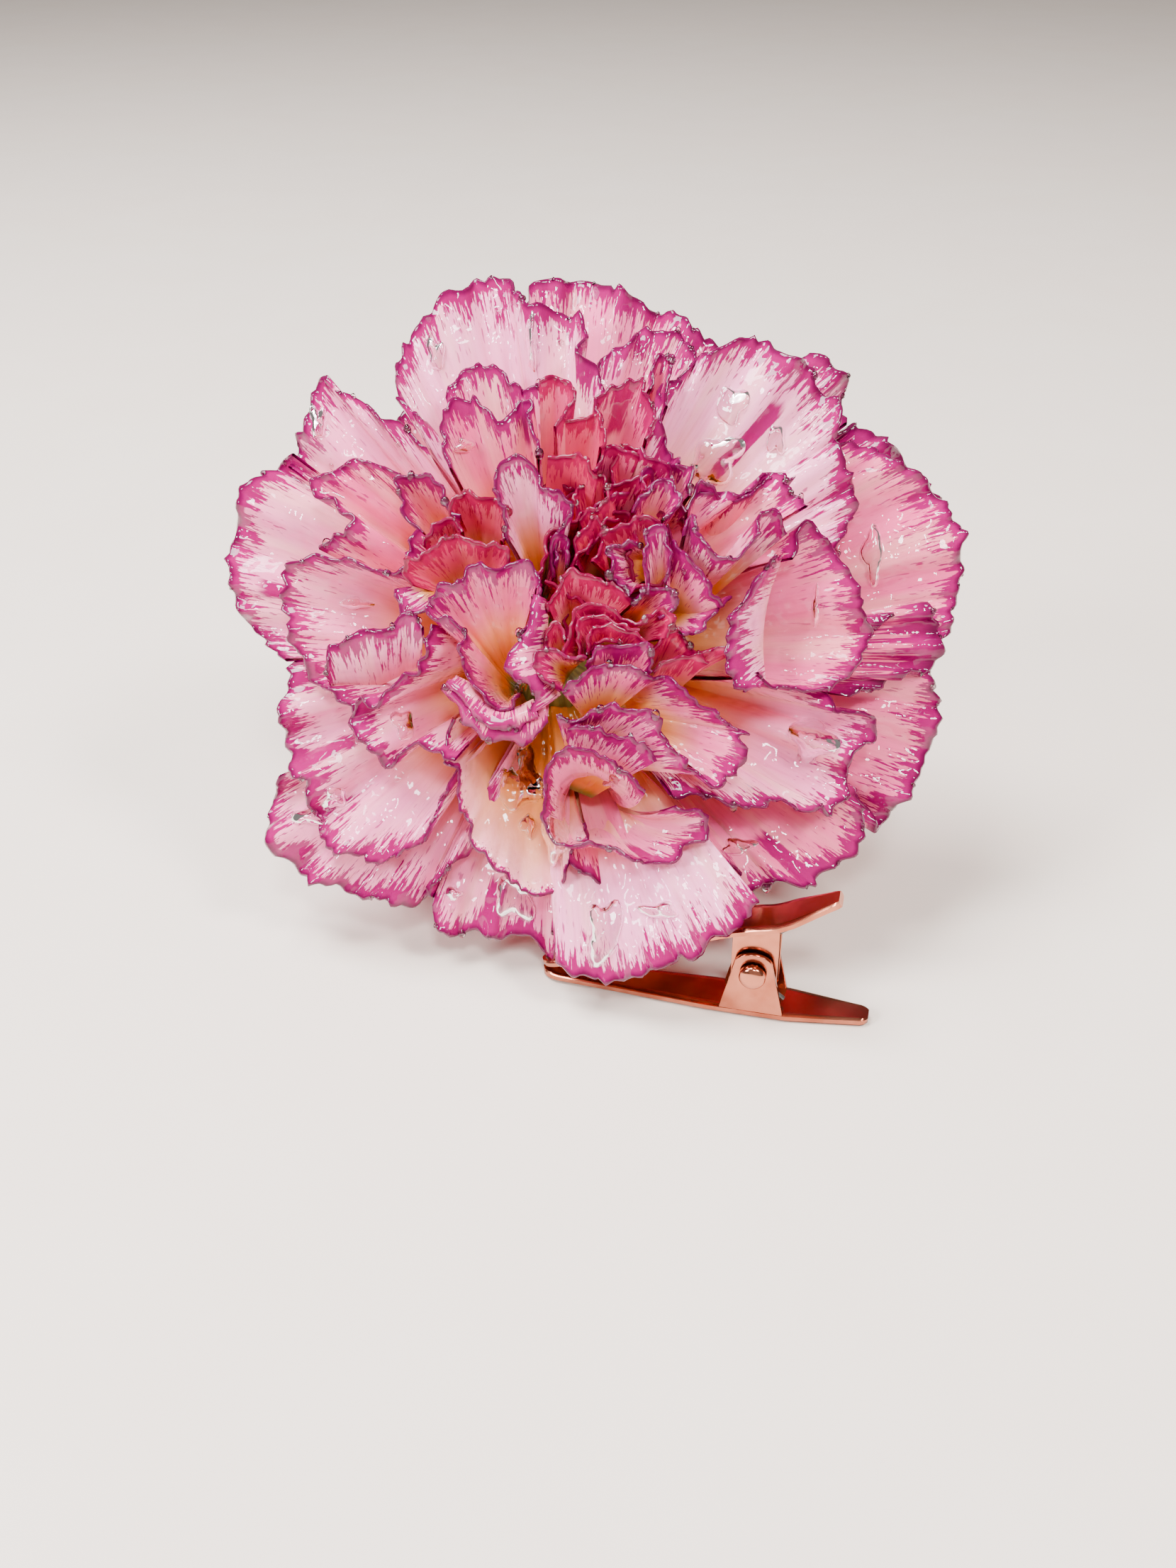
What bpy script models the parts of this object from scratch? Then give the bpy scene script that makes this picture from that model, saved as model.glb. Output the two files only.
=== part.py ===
"""Carnation hair clip: a resin-coated picotee carnation bloom on a small sprung metal clip.

Units are metres, +Z is up. The origin lies on the underside of the clip's lower strip, straight
below the hinge pin. The bloom faces -Y and leans back, and the clip lies flat below it.

Petals are written in the bloom's own face frame, in millimetres: across (to the right), up (along
the face) and toward (out of the face, at the viewer). Across and up are read face-on, as seen from
VIEW_DISTANCE, so a point that stands nearer the viewer is drawn in along its sight line.
"""
import math
import random

import bmesh
import bpy
from mathutils import Matrix, Vector

MM = 0.001

# The bloom's face
FACE_TILT = math.radians(28)
FACE_CENTRE = (-14.6, 20.45, 27.0)
VIEW_DISTANCE = 150.0

# Petals
PETAL_THICKNESS = 0.7
CLAW_WIDTH = 4.0
CLAW_REACH = 3.4
CLAW_DEPTH = -9.86
CLAW_DEPTH_SLOPE = 0.32
LIMB_LIFT = 7.0
MIDDLE_LIFT = 5.0
CENTRE_LIFT = 2.0
LOW_CENTRE_LIFT = 1.0
GUARD_LIFT = 6.0
RIM_TOOTH = 0.5
RIM_WAVE = 0.55
RIM_STEP = 5.0
ROWS_LENGTH = 26.0
RIM_SPANS_MOST = 12
CURVE_STEPS = 120
FILLER_COUNT = 7
FILLER_CENTRE = (2.0, 9.0)
FILLER_SPREAD = (7.0, 9.0)
FILLER_WIDTH = 6.0
FILLER_BULGE = 1.2
FILLER_TOWARD = 8.0
FILLER_TOWARD_SPREAD = 1.0
FILLER_TURN_SPREAD = 0.6
FILLER_SEED = 11
GOLDEN_ANGLE = 2.39996
GUARD_COUNT = 8
GUARD_FIRST = math.radians(22)
GUARD_SPAN = math.radians(54)
GUARD_REACH = 27.5
GUARD_DEPTH = -7.0
GUARD_SHIFT = -1.6

# The two lowest guard petals bend back down to the surface, behind the bloom's weight
PROP_ROOT = (-4.0, -4.4, -8.0)
PROP_MIDDLE = -3.0
PROP_SPREAD = 11.0
PROP_RIM = [(-8, -12.5, -19), (-5, -15.5, -23), (0, -17, -24.5), (5, -15.5, -23), (8, -12.5, -19)]
PROP_LIFT = 15.0

# The bundle of claws, and the calyx behind it
CORE_CENTRE = (-4.0, -1.0)
CORE_FRONT = -4.0
CORE_BACK = -20.0
CORE_RADIUS_FRONT = 5.6
CORE_RADIUS_BACK = 4.6
CORE_SIDES = 18
CALYX_MOUTH = -13.0
SOCKET_FRONT = -7.0
SEPALS = 5
SEPAL_RISE = 1.6
SOCKET_ROOM = 0.1
SOCKET_TAPER = 0.35
CALYX_PROFILE = [(6.3, -13.0), (6.6, -16.0), (6.2, -20.0), (5.0, -23.5), (3.6, -25.0)]
CALYX_ROOM_PROFILE = [(7.0, -11.1), (7.2, -16.0), (6.8, -20.0), (4.2, -25.5)]
CORE_KEEP_PROFILE = [(5.4, -9.0), (4.9, -20.1)]

# The clip, in its own frame: X along the strips towards the levers, Z up, the pin across
CLIP_YAW = math.radians(-13)
PIN_HEIGHT = 5.0
PIN_RADIUS = 0.7
PIN_HEAD_RADIUS = 1.2
PIN_HEAD_FACE_RADIUS = 0.7
PIN_HOLE_RADIUS = 1.0
PIN_HEAD_BASE = 2.35
PIN_HEAD_RIM = 2.75
PIN_HEAD_FACE = 3.15
PIN_HEAD_SIDES = 16
SHEET = 0.7
EAR_SHEET = 0.4
EAR_INSET = 0.05
EAR_FOOT = 3.0
EAR_TOP = 1.75
EAR_RISE = 0.9
EAR_BULGE = 0.7
UPPER_EAR_HALF = 2.1
UPPER_EAR_DROP = 2.6
BEND_HEIGHT = 9.2
BEND_FRONT = -1.2
BEND_BACK = 0.9
BEND_SHIFT = 0.3
JAW_TIP_SHEET = 0.6
STRIP_WIDTH = 4.2
UPPER_HALF_WIDTH = 2.0
JAW_LENGTH = 20.0
JAW_TAPER = -4.0
JAW_TIP_WIDTH = 2.6
JAW_ROUND = 2.0
LEVER_TAPER = 3.2
LEVER_TIP_WIDTH = 2.4
LEVER_ROUND = 0.7
LEVER_LENGTH = 10.6
UPPER_LEVER_TIP = (7.3, 13.6)
GAP = 0.3

# The spring: a coil round the pin and two legs against the levers
COIL_RADIUS = 1.5
COIL_TURNS = 1.5
COIL_STEPS = 24
COIL_HALF_WIDTH = 0.45
WIRE_RADIUS = 0.22
LOWER_LEG_END = (4.2, 1.3)
UPPER_LEG_END = (4.6, 10.6)

# The resin that holds the petals on the upper jaw
RESIN_FROM = -16.0
RESIN_TO = -2.4
RESIN_FRONT = -1.3
RESIN_FRONT_HEIGHT = 0.6
RESIN_REAR = 3.4
RESIN_REAR_HEIGHT = 4.2
RESIN_STATIONS = 5
RESIN_END_SWELL = 0.55
RESIN_END_WIDTH = 0.78

# Room cut out of the bloom round its neighbours
CLIP_ROOM_HALF_WIDTH = 2.5
STRIP_ROOM = 0.5
LEVER_SWING_ROOM = (1.8, 7.0)
HEAD_ROOM = (1.9, 3.8)
CLIP_ROOM_BELOW = 2.0
JAW_TIP_ROOM = 0.9
RESIN_ROOM = 0.35
FLOOR_ROOM = ((-80, -60, -30), (60, 70, 0))

PINK = (0.86, 0.55, 0.66, 1.0)
CALYX_GREEN = (0.24, 0.30, 0.10, 1.0)
RESIN_CLEAR = (0.95, 0.90, 0.88, 1.0)
ROSE_GOLD = (0.78, 0.42, 0.32, 1.0)
STEEL_GREY = (0.60, 0.60, 0.62, 1.0)

# Rim points of each petal, as (across, up, toward)
OUTER_PETALS = {
    "crown_back": [(-7, 30, -5), (-5.5, 32.5, -4), (-1.5, 33, -4), (1.5, 32, -4),
                   (5.5, 30.5, -3), (8.5, 29, -3), (12, 26, -2)],
    "crown_left": [(-15, 19, 2), (-18.5, 23.5, 1), (-17, 28, 0), (-13, 32, -1), (-8, 33, -1),
                   (-5.5, 30.5, 1), (-1.5, 29.5, 2), (0, 25, 4), (0.5, 20.5, 5)],
    "crown_front": [(0, 25, 2), (2, 27, 1), (5, 28.5, 0), (8, 28, 0), (10, 24, 1)],
    "crown_right": [(8, 16, 6), (6, 19.5, 5), (8, 24.5, 3), (13, 27.5, 2), (18, 26, 2),
                    (22.5, 21.5, 2), (22.5, 18, 3), (24, 13.5, 3), (22.5, 7.5, 5)],
    "crown_flap": [(17, 25, -1), (21, 26, -2), (23, 23.5, -2), (23, 20, -2)],
    "right_upper": [(21, 17, -1), (23.5, 18.5, -1), (27.5, 16.5, 0), (31, 14.5, 0), (34, 9.5, 0),
                    (34, 4.5, 0), (32.5, 0, 1), (31, -2.5, 1)],
    "right_back": [(22, 19, -3), (25, 19.5, -4), (28.5, 17, -4), (33, 11, -4), (34.2, 6, -4)],
    "right_dark": [(29.5, 3, 3), (31, -1, 3), (28, -3, 4), (25, -3.5, 4), (22, -4.5, 5)],
    "right_lower": [(30, -1, 1), (32, -5, 1), (32, -9, 1), (31, -12, 1), (29, -15.5, 2),
                    (27, -17, 2), (24.5, -14, 3)],
    "left_horn": [(-28.5, 16, -1), (-26.5, 21, -1), (-25, 24.5, -1), (-23, 22.5, 0),
                  (-19.5, 20.5, 1), (-16, 18, 2)],
    "left_outer": [(-28, 17, -1), (-32, 14.5, -1), (-34, 9, -1), (-34, 5, -1), (-32.5, 1.5, -1),
                   (-29, -2, 0)],
    "low_left_front": [(-28.5, -2, 2), (-29.5, -6, 2), (-29, -10.5, 2), (-27.5, -14, 3),
                       (-26, -18.5, 3), (-23, -20.5, 4), (-19, -20.5, 5), (-15.5, -17.5, 6),
                       (-13.5, -12, 7)],
    "low_left_back": [(-30, -13, 0), (-31, -18.5, 0), (-28, -22, 1), (-22.5, -24, 1),
                      (-18, -25, 2), (-14, -22, 3), (-11, -18, 4), (-10.5, -14.5, 5)],
    "bottom_centre": [(-16, -23.5, 2), (-15, -27.5, 2), (-10.5, -28, 2.5), (-6.5, -28.5, 3),
                      (-4, -30, 3.5), (-3, -26, 5), (-1, -23, 6)],
    "bottom_right": [(-4, -28, 6.5), (-2.5, -31.5, 8), (2, -32.5, 9.5), (6.5, -31, 10.5),
                     (10, -29.5, 11.5), (13, -27.5, 12), (15.5, -25, 11.5)],
}
MIDDLE_PETALS = {
    "bottom_pale": [(-2.5, -21.5, 7.5), (1, -23, 7.5), (4.5, -22.5, 7.5), (8, -24.5, 7),
                    (12, -25.5, 7), (16.5, -23, 6)],
    "low_right_front": [(9, -17, 8), (11, -20.5, 8), (14, -22, 7), (17.5, -23.5, 6),
                        (21, -22.5, 6), (24.5, -20, 5), (25.5, -17, 5), (24, -14, 5)],
    "low_right_wide": [(7.5, -14, 10), (13.5, -16, 9), (17, -15, 9), (21.5, -16.5, 8),
                       (24, -13.5, 7), (24, -11, 7), (26.5, -9.5, 6), (24.5, -7, 7), (20, -4.5, 8)],
    "left_mid": [(-16.5, 10, 8), (-18.5, 7, 7.5), (-21, 6, 7), (-24, 7.5, 6), (-27, 8, 5),
                 (-29, 6, 4), (-29, 2, 4), (-28, -1.5, 4), (-25.5, -4.5, 5), (-22, -7, 6)],
    "left_scroll": [(-18.5, 15.5, 5), (-22.5, 16.5, 4), (-26.5, 14.5, 4), (-24, 12.5, 5.5),
                    (-22.5, 11, 6), (-24.5, 9.5, 5.5), (-26, 8.5, 5)],
    "left_pleat": [(-17.5, 10, 8), (-18.5, 13.5, 7), (-18, 15.5, 7), (-16, 15.5, 7),
                   (-14.5, 14, 8), (-13, 12, 9)],
    "upper_left": [(-13.5, 16.5, 7), (-14.5, 19.5, 6), (-13.5, 22, 6), (-11, 21.5, 6.5),
                   (-8.5, 20.5, 7), (-6, 22, 7), (-5.5, 20, 8), (-6.5, 17, 9)],
    "upper_left_back": [(-14, 22.5, 3), (-12, 25, 3), (-9, 25, 3), (-7, 23, 4), (-5, 24, 4)],
    "low_left_inner": [(-16, 1.5, 10), (-16, -1.5, 10), (-18, -4, 9), (-22, -5.5, 8),
                       (-22.5, -7, 7.5), (-22, -9.5, 7), (-20, -11.5, 7), (-17, -10, 8),
                       (-13.5, -11.5, 9)],
    "low_point": [(5, -3.5, 11), (8.5, -4.5, 11), (11.5, -7, 11), (14.5, -9, 10.5),
                  (13, -11, 11), (11, -13.5, 11), (8, -11, 11.5)],
    "low_s_rim": [(-4, -7, 9), (-2, -6.5, 10), (1, -6, 11), (4, -6.5, 12), (6, -8, 12.5),
                  (6.5, -10, 12.5), (8, -11.5, 12.5)],
    "right_roll": [(18, 8.5, 10), (20, 10, 8.5), (22, 8.5, 8), (24.5, 5, 8), (25.5, 1, 8),
                   (25, -2, 8), (23, -4.3, 8.5), (19.5, -4.2, 9.5), (15, -4.5, 11)],
    "cup_back": [(10, 14, 9), (13, 13.5, 9.5), (16, 15, 9.5), (19, 13.5, 10), (19, 12, 11)],
}
CENTRE_PETALS = {
    "centre_tongue": [(-8.8, 13, 12), (-9, 15.5, 12), (-7.5, 16.8, 12), (-5.5, 15.5, 12),
                      (-3, 14, 12), (-3, 11, 11), (-3.8, 8, 9)],
    "crown_streaked": [(0.3, 19.5, 8), (0.5, 22.5, 7), (3.9, 24, 6.5), (5.2, 21.5, 7),
                       (4.8, 18.5, 8)],
    "crown_narrow": [(5, 23.5, 4), (6, 25.5, 3.5), (7.5, 26, 3.5), (6.5, 22, 5)],
    "crown_small": [(-5.3, 24, 8), (-3.2, 24, 8), (-2.2, 22, 9), (-3.7, 19.5, 10)],
    "crown_pocket": [(-3.5, 19.5, 9.5), (-0.5, 20.8, 9), (0.8, 19.5, 9.5), (0.3, 17.5, 10.5)],
    "centre_ledge": [(-4.5, 17, 10.5), (-1.5, 17.3, 11), (0.3, 15.5, 11.5)],
    "centre_hood": [(0.9, 13, 12), (1.6, 16.4, 11.5), (3.3, 18.2, 11), (5.1, 17.2, 11.5),
                    (6, 15.5, 12)],
    "frill_top": [(4.6, 15.5, 10.5), (6.9, 16.6, 10), (8.8, 15.8, 10), (8, 13.8, 11)],
    "frill_right": [(4.2, 11.3, 12), (4.8, 13.6, 11.5), (6.5, 14.5, 11.5), (7.6, 12.8, 12)],
    "frill_left": [(1.2, 6, 12.5), (1.4, 8.6, 12.5), (3.7, 9.5, 12.5), (5.2, 11.2, 12.5)],
    "frill_inner": [(5, 5.3, 13), (6.8, 6.8, 13), (6.9, 9.2, 13), (5.8, 10.2, 13)],
    "cup_front": [(9.2, 11.3, 12.5), (9.8, 9.2, 13), (12.9, 7.8, 13.5), (15.2, 10.2, 13),
                  (15.6, 11.7, 12.5), (18.5, 12, 12)],
    "cup_under": [(7.4, 8.3, 12), (9.8, 6.2, 12), (10.9, 4, 12), (12.7, 4.5, 12)],
    "dark_top": [(-12.8, 12.2, 9.5), (-11.3, 13, 9.5), (-9.5, 12.6, 10), (-8.3, 10.5, 11)],
    "dark_left": [(-16.5, 9, 9.5), (-14.6, 11.3, 9), (-13.2, 11.3, 9.5), (-12.6, 9.8, 10)],
    "dark_low": [(-17.5, 6, 9), (-16.5, 7.8, 9.5), (-12.5, 9, 10), (-8.7, 9, 11)],
}
LOW_CENTRE_PETALS = {
    "arc_outer": [(-3.9, 3.2, 10.5), (-3.4, 6, 10.5), (0, 5.5, 11), (3, 4, 11)],
    "arc_high": [(-2.3, 1.6, 11.5), (-1, 3.5, 11.5), (2, 3, 12), (5.6, 0.9, 12)],
    "arc_mid": [(-1.1, -0.3, 12), (0, 1.6, 12), (2.8, 1, 12.5), (5.6, -0.5, 12.5)],
    "arc_side": [(3.5, 3.6, 11), (5.8, 5.3, 11), (7.2, 4.5, 11), (7.8, 1, 11.5)],
    "arc_right": [(7.9, 0.9, 10), (9.8, 0.6, 10), (12.3, 3.4, 10)],
    "pale_upper": [(-1.1, -1.9, 12), (1, -0.5, 12), (4.6, -0.5, 12), (5.2, -3, 12)],
    "pale_lower": [(-1.4, -4.6, 11.5), (0.5, -2.7, 11.5), (3.9, -2.6, 11.8), (5.3, -3.7, 12)],
    "left_knot": [(-5.2, -1.4, 11), (-4.2, 1.5, 11), (-2.3, -0.8, 11.5), (-2.3, -4.6, 11.5)],
}
LOW_CENTRE_ROOT = (0.0, -4.5, -5.0)

# Petals rolled into a funnel: the throat and the rim that runs round it
FUNNEL_PETALS = {
    "left_funnel": dict(
        throat=(-9.5, -1, 1), throat_radius=2.0,
        rim=[(-5.8, -7.5, 11), (-6.5, -4, 12), (-8.3, -1, 12.5), (-6, 2, 12), (-5.5, 5.5, 11.5),
             (-8.5, 7, 11), (-12.5, 6.5, 10), (-15.5, 4.5, 9.5), (-15.2, 1, 10), (-13.5, -3, 10.5),
             (-11, -7, 10.5), (-8, -9, 10.5)]),
    "bottom_funnel": dict(
        throat=(-0.5, -13, 4), throat_radius=1.8,
        rim=[(4.3, -14.3, 12.5), (2.5, -11.8, 13), (-0.5, -10.3, 13), (-3.6, -11.2, 12.5),
             (-5, -15, 12), (-3, -19.3, 11), (1, -20.3, 11), (6, -21, 10.5), (9.3, -19.3, 10.5),
             (10, -17, 11), (6.5, -15.7, 12)]),
}

# Flaps that stand on another petal: the line they fold from and their rim
FLAP_PETALS = {
    "left_fold": dict(
        base=[(-25, -4.8, 3), (-21, -4.2, 4), (-16.5, -2.2, 5)],
        rim=[(-25.5, -3, 7.5), (-24.5, -0.5, 8.5), (-20.5, 0.8, 9), (-17.5, 2.3, 9.5),
             (-16.2, 1, 9.5)]),
    "roll_side": dict(
        base=[(17.5, 8.5, 9), (16, 4, 8), (15.5, 0, 8), (15.2, -4.5, 10)],
        rim=[(16.8, 7.8, 11.5), (13.5, 3.2, 12), (12.5, 0, 12), (13.8, -4.6, 12)]),
}


def material(name, colour, roughness, metallic=0.0):
    """One plain Principled material."""
    made = bpy.data.materials.new(name)
    made.use_nodes = True
    shader = made.node_tree.nodes["Principled BSDF"]
    shader.inputs["Base Color"].default_value = colour
    shader.inputs["Roughness"].default_value = roughness
    shader.inputs["Metallic"].default_value = metallic
    made.diffuse_color = colour
    return made


def face_point(across, up, toward):
    """World place of a point of the face frame, drawn in along its sight line."""
    nearer = 1.0 - toward / VIEW_DISTANCE
    side = across * nearer
    height = up * nearer
    sin_tilt = math.sin(FACE_TILT)
    cos_tilt = math.cos(FACE_TILT)
    x = FACE_CENTRE[0] + side
    y = FACE_CENTRE[1] + height * sin_tilt - toward * cos_tilt
    z = FACE_CENTRE[2] + height * cos_tilt + toward * sin_tilt
    return Vector((x, y, z)) * MM


def face_matrix(across, up, toward):
    """Frame whose Z runs out of the bloom's face, at a point of the face frame."""
    turn = Matrix.Rotation(math.pi / 2 - FACE_TILT, 4, "X")
    return Matrix.Translation(face_point(across, up, toward)) @ turn


def spline(points, where):
    """Point at 0..1 of the Catmull-Rom curve through the points."""
    spans = len(points) - 1
    place = min(max(where, 0.0), 1.0) * spans
    index = min(int(place), spans - 1)
    t = place - index
    b = points[index]
    c = points[index + 1]
    a = points[index - 1] if index > 0 else b + (b - c)
    d = points[index + 2] if index + 2 <= spans else c + (c - b)
    return 0.5 * (2 * b + (c - a) * t + (2 * a - 5 * b + 4 * c - d) * t ** 2
                  + (3 * b - a - 3 * c + d) * t ** 3)


def even_points(points, count):
    """Points at even distances along the curve through the given ones."""
    fine = [spline(points, i / CURVE_STEPS) for i in range(CURVE_STEPS + 1)]
    lengths = [0.0]
    for before, after in zip(fine, fine[1:]):
        lengths.append(lengths[-1] + (after - before).length)
    even = []
    span = 0
    for step in range(count + 1):
        target = lengths[-1] * step / count
        while span < CURVE_STEPS - 1 and lengths[span + 1] < target:
            span += 1
        part = (target - lengths[span]) / max(lengths[span + 1] - lengths[span], 1e-9)
        even.append(fine[span].lerp(fine[span + 1], min(max(part, 0.0), 1.0)))
    return even


def claw_root(rim):
    """Where a petal's claw starts in the core: outer petals start further back."""
    centre = sum(rim, Vector()) / len(rim)
    away = Vector((centre.x - CORE_CENTRE[0], centre.y - CORE_CENTRE[1], 0))
    away = away.normalized() * CLAW_REACH
    depth = CLAW_DEPTH + CLAW_DEPTH_SLOPE * centre.z
    return Vector((CORE_CENTRE[0] + away.x, CORE_CENTRE[1] + away.y, depth))


def petal_rows(shape, count):
    """The base line, the middle line and the rim of a petal, each of count + 1 points."""
    rim = even_points([Vector(p) for p in shape["rim"]], count)
    if "base" in shape:
        base = even_points([Vector(p) for p in shape["base"]], count)
    else:
        root = Vector(shape["root"]) if "root" in shape else claw_root(rim)
        along = rim[-1] - rim[0]
        along.z = 0
        along.normalize()
        base = [root + along * CLAW_WIDTH * (i / count - 0.5) for i in range(count + 1)]
    if "throat" in shape:
        throat = Vector(shape["throat"])
        middle = []
        for point in rim:
            out = Vector((point.x - throat.x, point.y - throat.y, 0)).normalized()
            middle.append(throat + out * shape["throat_radius"])
    else:
        rise = Vector((0, 0, shape.get("lift", LIMB_LIFT) * 0.5))
        middle = [(a + b) / 2 + rise for a, b in zip(base, rim)]
    return base, middle, rim


def petal_surface(shape, count, rows):
    """Grid of face-frame points, base line first, waved and toothed along the rim."""
    base, middle, rim = petal_rows(shape, count)
    grid = []
    for row in range(rows + 1):
        t = row / rows
        line = []
        for i in range(count + 1):
            point = (base[i] * (2 * t - 1) * (t - 1) + middle[i] * 4 * t * (1 - t)
                     + rim[i] * t * (2 * t - 1))
            outward = (rim[i] - middle[i]).normalized()
            sign = 1 if i % 2 else -1
            point += outward * RIM_TOOTH * sign * t ** 4
            point.z += RIM_WAVE * sign * t ** 2
            line.append(point)
        grid.append(line)
    return grid


def sheet_mesh(name, grid):
    """Open triangulated surface through a grid of face-frame points."""
    mesh = bpy.data.meshes.new(name)
    shape = bmesh.new()
    verts = [[shape.verts.new(face_point(*p)) for p in line] for line in grid]
    for low, high in zip(verts, verts[1:]):
        for i in range(len(low) - 1):
            shape.faces.new((low[i], low[i + 1], high[i + 1]))
            shape.faces.new((low[i], high[i + 1], high[i]))
    shape.to_mesh(mesh)
    shape.free()
    return mesh


def add_petal(name, shape, collection):
    """One petal as a thin solid."""
    rim = [Vector(point) for point in shape["rim"]]
    rim_length = sum((after - before).length for before, after in zip(rim, rim[1:]))
    count = min(max(2 * round(rim_length / RIM_STEP / 2), 2), RIM_SPANS_MOST)
    rows = 3 if rim_length > ROWS_LENGTH else 2
    grid = petal_surface(shape, count, rows)
    petal = bpy.data.objects.new(name, sheet_mesh(name, grid))
    collection.objects.link(petal)
    thick = petal.modifiers.new("blade", "SOLIDIFY")
    thick.thickness = PETAL_THICKNESS * MM
    thick.offset = 0.0
    return petal


def all_petals():
    """Every petal's name and shape, from the outer ring inwards."""
    shapes = {}
    for name, rim in OUTER_PETALS.items():
        shapes[name] = dict(rim=rim)
    for name, rim in MIDDLE_PETALS.items():
        shapes[name] = dict(rim=rim, lift=MIDDLE_LIFT)
    for name, rim in CENTRE_PETALS.items():
        shapes[name] = dict(rim=rim, lift=CENTRE_LIFT)
    for name, rim in LOW_CENTRE_PETALS.items():
        shapes[name] = dict(rim=rim, lift=LOW_CENTRE_LIFT, root=LOW_CENTRE_ROOT)
    shapes.update(FUNNEL_PETALS)
    shapes.update(FLAP_PETALS)
    shapes.update(filler_petals())
    shapes.update(guard_petals())
    return shapes


def filler_petals():
    """Small crumpled petals deep between the centre ones, placed by the golden angle."""
    draw = random.Random(FILLER_SEED)
    shapes = {}
    for index in range(FILLER_COUNT):
        turn = index * GOLDEN_ANGLE
        reach = math.sqrt((index + 0.5) / FILLER_COUNT)
        across = FILLER_CENTRE[0] + FILLER_SPREAD[0] * reach * math.cos(turn)
        up = FILLER_CENTRE[1] + FILLER_SPREAD[1] * reach * math.sin(turn)
        facing = turn + draw.uniform(-FILLER_TURN_SPREAD, FILLER_TURN_SPREAD)
        toward = FILLER_TOWARD + draw.uniform(-FILLER_TOWARD_SPREAD, FILLER_TOWARD_SPREAD)
        rim = []
        for step in range(4):
            side = (step / 3 - 0.5) * FILLER_WIDTH
            bulge = FILLER_BULGE * math.cos((step / 3 - 0.5) * math.pi)
            rim.append((across - side * math.sin(facing) + bulge * math.cos(facing),
                        up + side * math.cos(facing) + bulge * math.sin(facing), toward))
        shapes[f"filler_{index}"] = dict(rim=rim, lift=0.0)
    return shapes


def guard_petals():
    """Outermost petals behind the face, and the two that bend back down to the surface."""
    shapes = {}
    for index in range(GUARD_COUNT):
        turn = GUARD_FIRST + 2 * math.pi / GUARD_COUNT * index
        rim = []
        for step in (-2, -1, 0, 1, 2):
            angle = turn + GUARD_SPAN * step / 4
            reach = GUARD_REACH - abs(step)
            rim.append((GUARD_SHIFT + reach * math.cos(angle),
                        reach * math.sin(angle), GUARD_DEPTH))
        shapes[f"guard_{index}"] = dict(rim=rim, lift=GUARD_LIFT)
    for name, side in (("prop_left", -1), ("prop_right", 1)):
        shift = PROP_MIDDLE + PROP_SPREAD * side
        rim = [(across + shift, up, toward) for across, up, toward in PROP_RIM]
        shapes[name] = dict(rim=rim, lift=PROP_LIFT, root=PROP_ROOT)
    return shapes


def cut_box(name, collection, low, high):
    """Plain box between two corners, in millimetres, kept as a cutter."""
    mesh = bpy.data.meshes.new(name)
    shape = bmesh.new()
    bmesh.ops.create_cube(shape, size=1.0)
    for vert in shape.verts:
        for axis in range(3):
            vert.co[axis] = (low[axis] + (high[axis] - low[axis]) * (vert.co[axis] + 0.5)) * MM
    shape.to_mesh(mesh)
    shape.free()
    return hidden_cutter(bpy.data.objects.new(name, mesh), collection)


def hidden_cutter(cutter, collection):
    """A cutter isn't part of the object."""
    collection.objects.link(cutter)
    cutter.hide_render = True
    cutter.display_type = "WIRE"
    return cutter


def prism(name, outline, low, high, across):
    """Solid with a flat outline: across Y, the outline is (x, z); across Z, it is (x, y)."""
    curve = bpy.data.curves.new(name, "CURVE")
    curve.dimensions = "2D"
    curve.fill_mode = "BOTH"
    curve.extrude = (high - low) / 2 * MM
    line = curve.splines.new("POLY")
    line.points.add(len(outline) - 1)
    line.use_cyclic_u = True
    for point, (x, y) in zip(line.points, outline):
        point.co = (x * MM, y * MM, 0, 1)
    guide = bpy.data.objects.new(name + "_outline", curve)
    bpy.context.scene.collection.objects.link(guide)
    middle = (low + high) / 2 * MM
    if across == "Y":
        upright = Matrix.Rotation(math.pi / 2, 4, "X")
        guide.matrix_world = Matrix.Translation((0, middle, 0)) @ upright
    else:
        guide.matrix_world = Matrix.Translation((0, 0, middle))
    bpy.context.view_layer.update()
    graph = bpy.context.evaluated_depsgraph_get()
    mesh = bpy.data.meshes.new_from_object(guide.evaluated_get(graph))
    mesh.name = name
    mesh.transform(guide.matrix_world)
    bpy.data.objects.remove(guide)
    bpy.data.curves.remove(curve)
    weld(mesh)
    return bpy.data.objects.new(name, mesh)


def weld(mesh):
    """Join the loose caps, and turn every face outwards."""
    shape = bmesh.new()
    shape.from_mesh(mesh)
    bmesh.ops.remove_doubles(shape, verts=shape.verts, dist=1e-6)
    bmesh.ops.recalc_face_normals(shape, faces=shape.faces)
    shape.to_mesh(mesh)
    shape.free()


def cylinder(name, radius, low, high, centre_x, centre_z, sides=20):
    """Round bar along Y."""
    mesh = bpy.data.meshes.new(name)
    shape = bmesh.new()
    turn = Matrix.Rotation(math.pi / 2, 4, "X")
    place = Matrix.Translation((centre_x * MM, (low + high) / 2 * MM, centre_z * MM))
    bmesh.ops.create_cone(shape, cap_ends=True, segments=sides, radius1=radius * MM,
                          radius2=radius * MM, depth=(high - low) * MM, matrix=place @ turn)
    shape.to_mesh(mesh)
    shape.free()
    return bpy.data.objects.new(name, mesh)


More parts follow.
